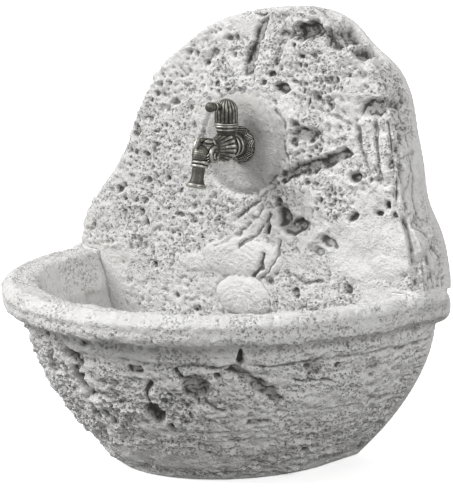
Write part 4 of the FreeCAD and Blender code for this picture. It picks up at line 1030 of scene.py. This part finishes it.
def floor_finish(colour):
    """Pale floor that looks white and sends little light back up."""
    material, tree = new_finish("Pale studio floor")
    at = put(tree, "ShaderNodeTexCoord").outputs["Object"]
    cloud = put(tree, "ShaderNodeTexNoise", {"Vector": at, "Scale": 3.0, "Detail": 3.0})
    fine = put(tree, "ShaderNodeTexNoise", {"Vector": at, "Scale": 160.0, "Detail": 3.0})
    face = blended(tree, math_of(tree, "MULTIPLY", cloud.outputs[0], 0.06), coloured(colour),
                   (0.8, 0.8, 0.8, 1.0))
    seen = put(tree, "ShaderNodeLightPath").outputs["Is Camera Ray"]
    face = blended(tree, seen, (0.30, 0.30, 0.30, 1.0), face)
    roughness = math_of(tree, "ADD", 0.8, math_of(tree, "MULTIPLY", fine.outputs[0], 0.15))
    glow = math_of(tree, "MULTIPLY", seen, 0.55)
    ended(tree, {"Base Color": face, "Roughness": roughness, "Emission Color": (1.0, 1.0, 1.0, 1.0),
                 "Emission Strength": glow}, fine.outputs[0], 0.05, 0.0005)
    return material


# ================================================================ settings, operators and panel
class FountainStone(bpy.types.PropertyGroup):
    face_size: FloatProperty(name="Face size", description="Side of the stones' even faces before thinning",
                             default=0.0021, min=0.001, max=0.01, unit="LENGTH")
    relief: FloatProperty(name="Relief", description="Share of the full rock relief that is carved",
                          default=1.0, min=0.0, max=1.5, subtype="FACTOR")
    easing: IntProperty(name="Easing", description="Rounds of smoothing before the stone is carved",
                        default=14, min=0, max=60)
    triangles: IntProperty(name="Triangles", description="Most triangles that one stone keeps",
                           default=PIECE_TRIANGLES, min=1000, max=200000)
    pale: FloatVectorProperty(name="Pale face", description="Colour of the stone's light faces",
                              default=(0.82, 0.815, 0.805), min=0, max=1, subtype="COLOR")
    # Painted shade, partly dirt: the colour that hollows, creases and pinholes are darkened towards.
    deep: FloatVectorProperty(name="Hollows", description="Colour deep in the stone's hollows",
                              default=(0.15, 0.145, 0.135), min=0, max=1, subtype="COLOR")
    stain: FloatVectorProperty(name="Stains", description="Colour of the stone's soft stains",
                               default=(0.69, 0.68, 0.66), min=0, max=1, subtype="COLOR")


class FountainTap(bpy.types.PropertyGroup):
    face_size: FloatProperty(name="Face size", description="Side of the castings' even faces",
                             default=0.00045, min=0.0002, max=0.002, unit="LENGTH")
    ribs: IntProperty(name="Ribs", description="Ribs round the shell-like ruff", default=18, min=6, max=40)
    leaves: IntProperty(name="Leaves", description="Leaves round the cover plate", default=8, min=4, max=16)
    flutes: IntProperty(name="Flutes", description="Flutes round the handle's cap", default=18, min=6, max=40)
    # Rubbed wear and painted highlight on the raised edges: how strong here, their colour below.
    rubbing_and_highlight: FloatProperty(name="Rubbing", description="How bright the raised edges are rubbed",
                           default=0.9, min=0.0, max=1.0, subtype="FACTOR")
    bronze: FloatVectorProperty(name="Bronze", description="Colour of the dark patina",
                                default=(0.105, 0.101, 0.088), min=0, max=1, subtype="COLOR")
    rubbed: FloatVectorProperty(name="Rubbed edges", description="Colour where the patina is rubbed off",
                                default=(0.62, 0.60, 0.55), min=0, max=1, subtype="COLOR")


class FountainStage(bpy.types.PropertyGroup):
    floor: FloatProperty(name="Floor", description="Side of the square floor", default=60.0, min=1.0,
                         unit="LENGTH")
    floor_colour: FloatVectorProperty(name="Floor colour", description="Colour of the floor",
                                      default=(0.93, 0.93, 0.93), min=0, max=1, subtype="COLOR")
    sky: FloatProperty(name="Sky", description="Strength of the even light from all round", default=0.45,
                       min=0.0)
    key: FloatProperty(name="Key light", description="Strength of the main light", default=2.8, min=0.0)
    fill: FloatProperty(name="Fill light", description="Strength of the weaker light from the right",
                        default=1.2, min=0.0)
    softness: FloatProperty(name="Softness", description="Apparent width of the main light",
                            default=math.radians(30), min=0.0, subtype="ANGLE")
    azimuth: FloatProperty(name="Azimuth", description="Camera's turn round the fountain, to its right end",
                           default=math.radians(39), subtype="ANGLE")
    elevation: FloatProperty(name="Elevation", description="Camera's height over the horizon",
                             default=math.radians(10), subtype="ANGLE")
    distance: FloatProperty(name="Distance", description="Camera to the middle of the fountain",
                            default=3.5, min=0.5, unit="LENGTH")
    lens: FloatProperty(name="Lens", description="Focal length on a 36 mm wide picture, in millimetres",
                        default=193.2, min=10.0)
    aim: FloatVectorProperty(name="Aim", description="Point that the camera looks at",
                             default=(0.0281, 0.0741, 0.2961), subtype="XYZ", unit="LENGTH")


class FOUNTAIN_OT_carve_slab(bpy.types.Operator):
    """Carves the back slab's rock face and strikes off its bedding"""
    bl_idname = "fountain.carve_slab"
    bl_label = "Carve back slab"

    def execute(self, context):
        settings = context.scene.fountain_stone
        slab = carved("back_slab", "slab_rock_face", slab_relief, slab_hold, settings)
        finish = bpy.data.materials.get("Cast stone, rock faced") or rock_finish(settings)
        placed(slab, "back_slab", STANDS, finish)
        placed(bedding(), "bed_mortar", STANDS, finish)
        return {"FINISHED"}


class FOUNTAIN_OT_carve_basin(bpy.types.Operator):
    """Carves the basin's rock face and its pitted rim"""
    bl_idname = "fountain.carve_basin"
    bl_label = "Carve basin"

    def execute(self, context):
        settings = context.scene.fountain_stone
        basin = carved("basin", "basin_rock_face", basin_relief, basin_hold, settings)
        finish = bpy.data.materials.get("Cast stone, rock faced") or rock_finish(settings)
        placed(basin, "basin", STANDS, finish)
        return {"FINISHED"}


class FOUNTAIN_OT_cast_tap(bpy.types.Operator):
    """Casts the tap's body, cover plate, nozzle and bonnet"""
    bl_idname = "fountain.cast_tap"
    bl_label = "Cast tap"

    def execute(self, context):
        settings = context.scene.fountain_tap
        finish = bpy.data.materials.get("Antiqued bronze") or bronze_finish(settings)
        for piece, node in ((tap_casting(settings), "tap_body"), (rosette(settings), "wall_rosette"),
                            (nozzle(), "spout_nozzle"), (bonnet(), "valve_bonnet")):
            placed(piece, node, STANDS, finish)
        return {"FINISHED"}


class FOUNTAIN_OT_cast_handle(bpy.types.Operator):
    """Casts the fluted handle with its lever, which turns with the valve"""
    bl_idname = "fountain.cast_handle"
    bl_label = "Cast handle"

    def execute(self, context):
        settings = context.scene.fountain_tap
        finish = bpy.data.materials.get("Antiqued bronze") or bronze_finish(settings)
        placed(handle(settings), "handle_cap", TURNS, finish)
        return {"FINISHED"}


class FOUNTAIN_OT_finish_fittings(bpy.types.Operator):
    """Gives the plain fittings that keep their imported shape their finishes"""
    bl_idname = "fountain.finish_fittings"
    bl_label = "Finish fittings"

    def execute(self, context):
        finishes = {slot: fitting_finish(*recipe) for slot, recipe in FITTING_FINISHES.items()}
        finishes["mortar"] = mortar_finish()
        for part in frame["record"]["subparts"]:
            finish = finishes.get(part["material_slot"])
            if finish:
                mesh = frame["nodes"][part["node"]].data
                for place in range(len(mesh.materials)):
                    mesh.materials[place] = finish
        return {"FINISHED"}


class FOUNTAIN_OT_set_stage(bpy.types.Operator):
    """Lays the pale floor, sets the soft light and places the camera"""
    bl_idname = "fountain.set_stage"
    bl_label = "Set stage"

    def execute(self, context):
        scene, settings = context.scene, context.scene.fountain_stage
        half = settings.floor / 2
        mesh = bpy.data.meshes.new("studio_floor")
        mesh.from_pydata([(-half, -half, 0), (half, -half, 0), (half, half, 0), (-half, half, 0)], [],
                         [(0, 1, 2, 3)])
        mesh.materials.append(floor_finish(settings.floor_colour))
        floor = linked("studio_floor", mesh)
        floor.location.z = -0.0005
        lamp("key_light", settings.key, settings.softness, (-0.52, -0.60, 0.61))
        lamp("fill_light", settings.fill, settings.softness, (0.84, -0.22, 0.5))
        scene.world = studio_light(settings.sky)
        scene.view_settings.view_transform = "Standard"
        camera = bpy.data.objects.new("camera", bpy.data.cameras.new("camera"))
        camera.data.lens = settings.lens
        camera.data.sensor_width = 36
        camera.data.dof.use_dof = False
        level = math.cos(settings.elevation)
        away = Vector((level * math.sin(settings.azimuth), -level * math.cos(settings.azimuth),
                       math.sin(settings.elevation)))
        camera.location = Vector(settings.aim) + settings.distance * away
        camera.rotation_euler = away.to_track_quat("Z", "Y").to_euler()
        scene.collection.objects.link(camera)
        scene.camera = camera
        return {"FINISHED"}


STEPS = (FOUNTAIN_OT_carve_slab, FOUNTAIN_OT_carve_basin, FOUNTAIN_OT_cast_tap, FOUNTAIN_OT_cast_handle,
         FOUNTAIN_OT_finish_fittings, FOUNTAIN_OT_set_stage)
GROUPS = {"fountain_stone": FountainStone, "fountain_tap": FountainTap, "fountain_stage": FountainStage}


class FOUNTAIN_PT_panel(bpy.types.Panel):
    """The fountain's settings and steps"""
    bl_idname = "FOUNTAIN_PT_panel"
    bl_label = "Wall fountain"
    bl_space_type = "VIEW_3D"
    bl_region_type = "UI"
    bl_category = "Fountain"

    def draw(self, context):
        layout = self.layout
        for group, kind in GROUPS.items():
            part = layout.box()
            for prop in kind.__annotations__:
                part.prop(getattr(context.scene, group), prop)
        for step in STEPS:
            layout.operator(step.bl_idname)


def register():
    for kind in (*GROUPS.values(), *STEPS, FOUNTAIN_PT_panel):
        bpy.utils.register_class(kind)
    for group, kind in GROUPS.items():
        setattr(bpy.types.Scene, group, PointerProperty(type=kind))


def unregister():
    for group in GROUPS:
        delattr(bpy.types.Scene, group)
    for kind in reversed((*GROUPS.values(), *STEPS, FOUNTAIN_PT_panel)):
        bpy.utils.unregister_class(kind)


def main():
    register()
    bpy.ops.fountain.carve_slab()
    bpy.ops.fountain.carve_basin()
    bpy.ops.fountain.cast_tap()
    bpy.ops.fountain.cast_handle()
    bpy.ops.fountain.finish_fittings()
    bpy.ops.fountain.set_stage()


if __name__ == "__main__":
    main()
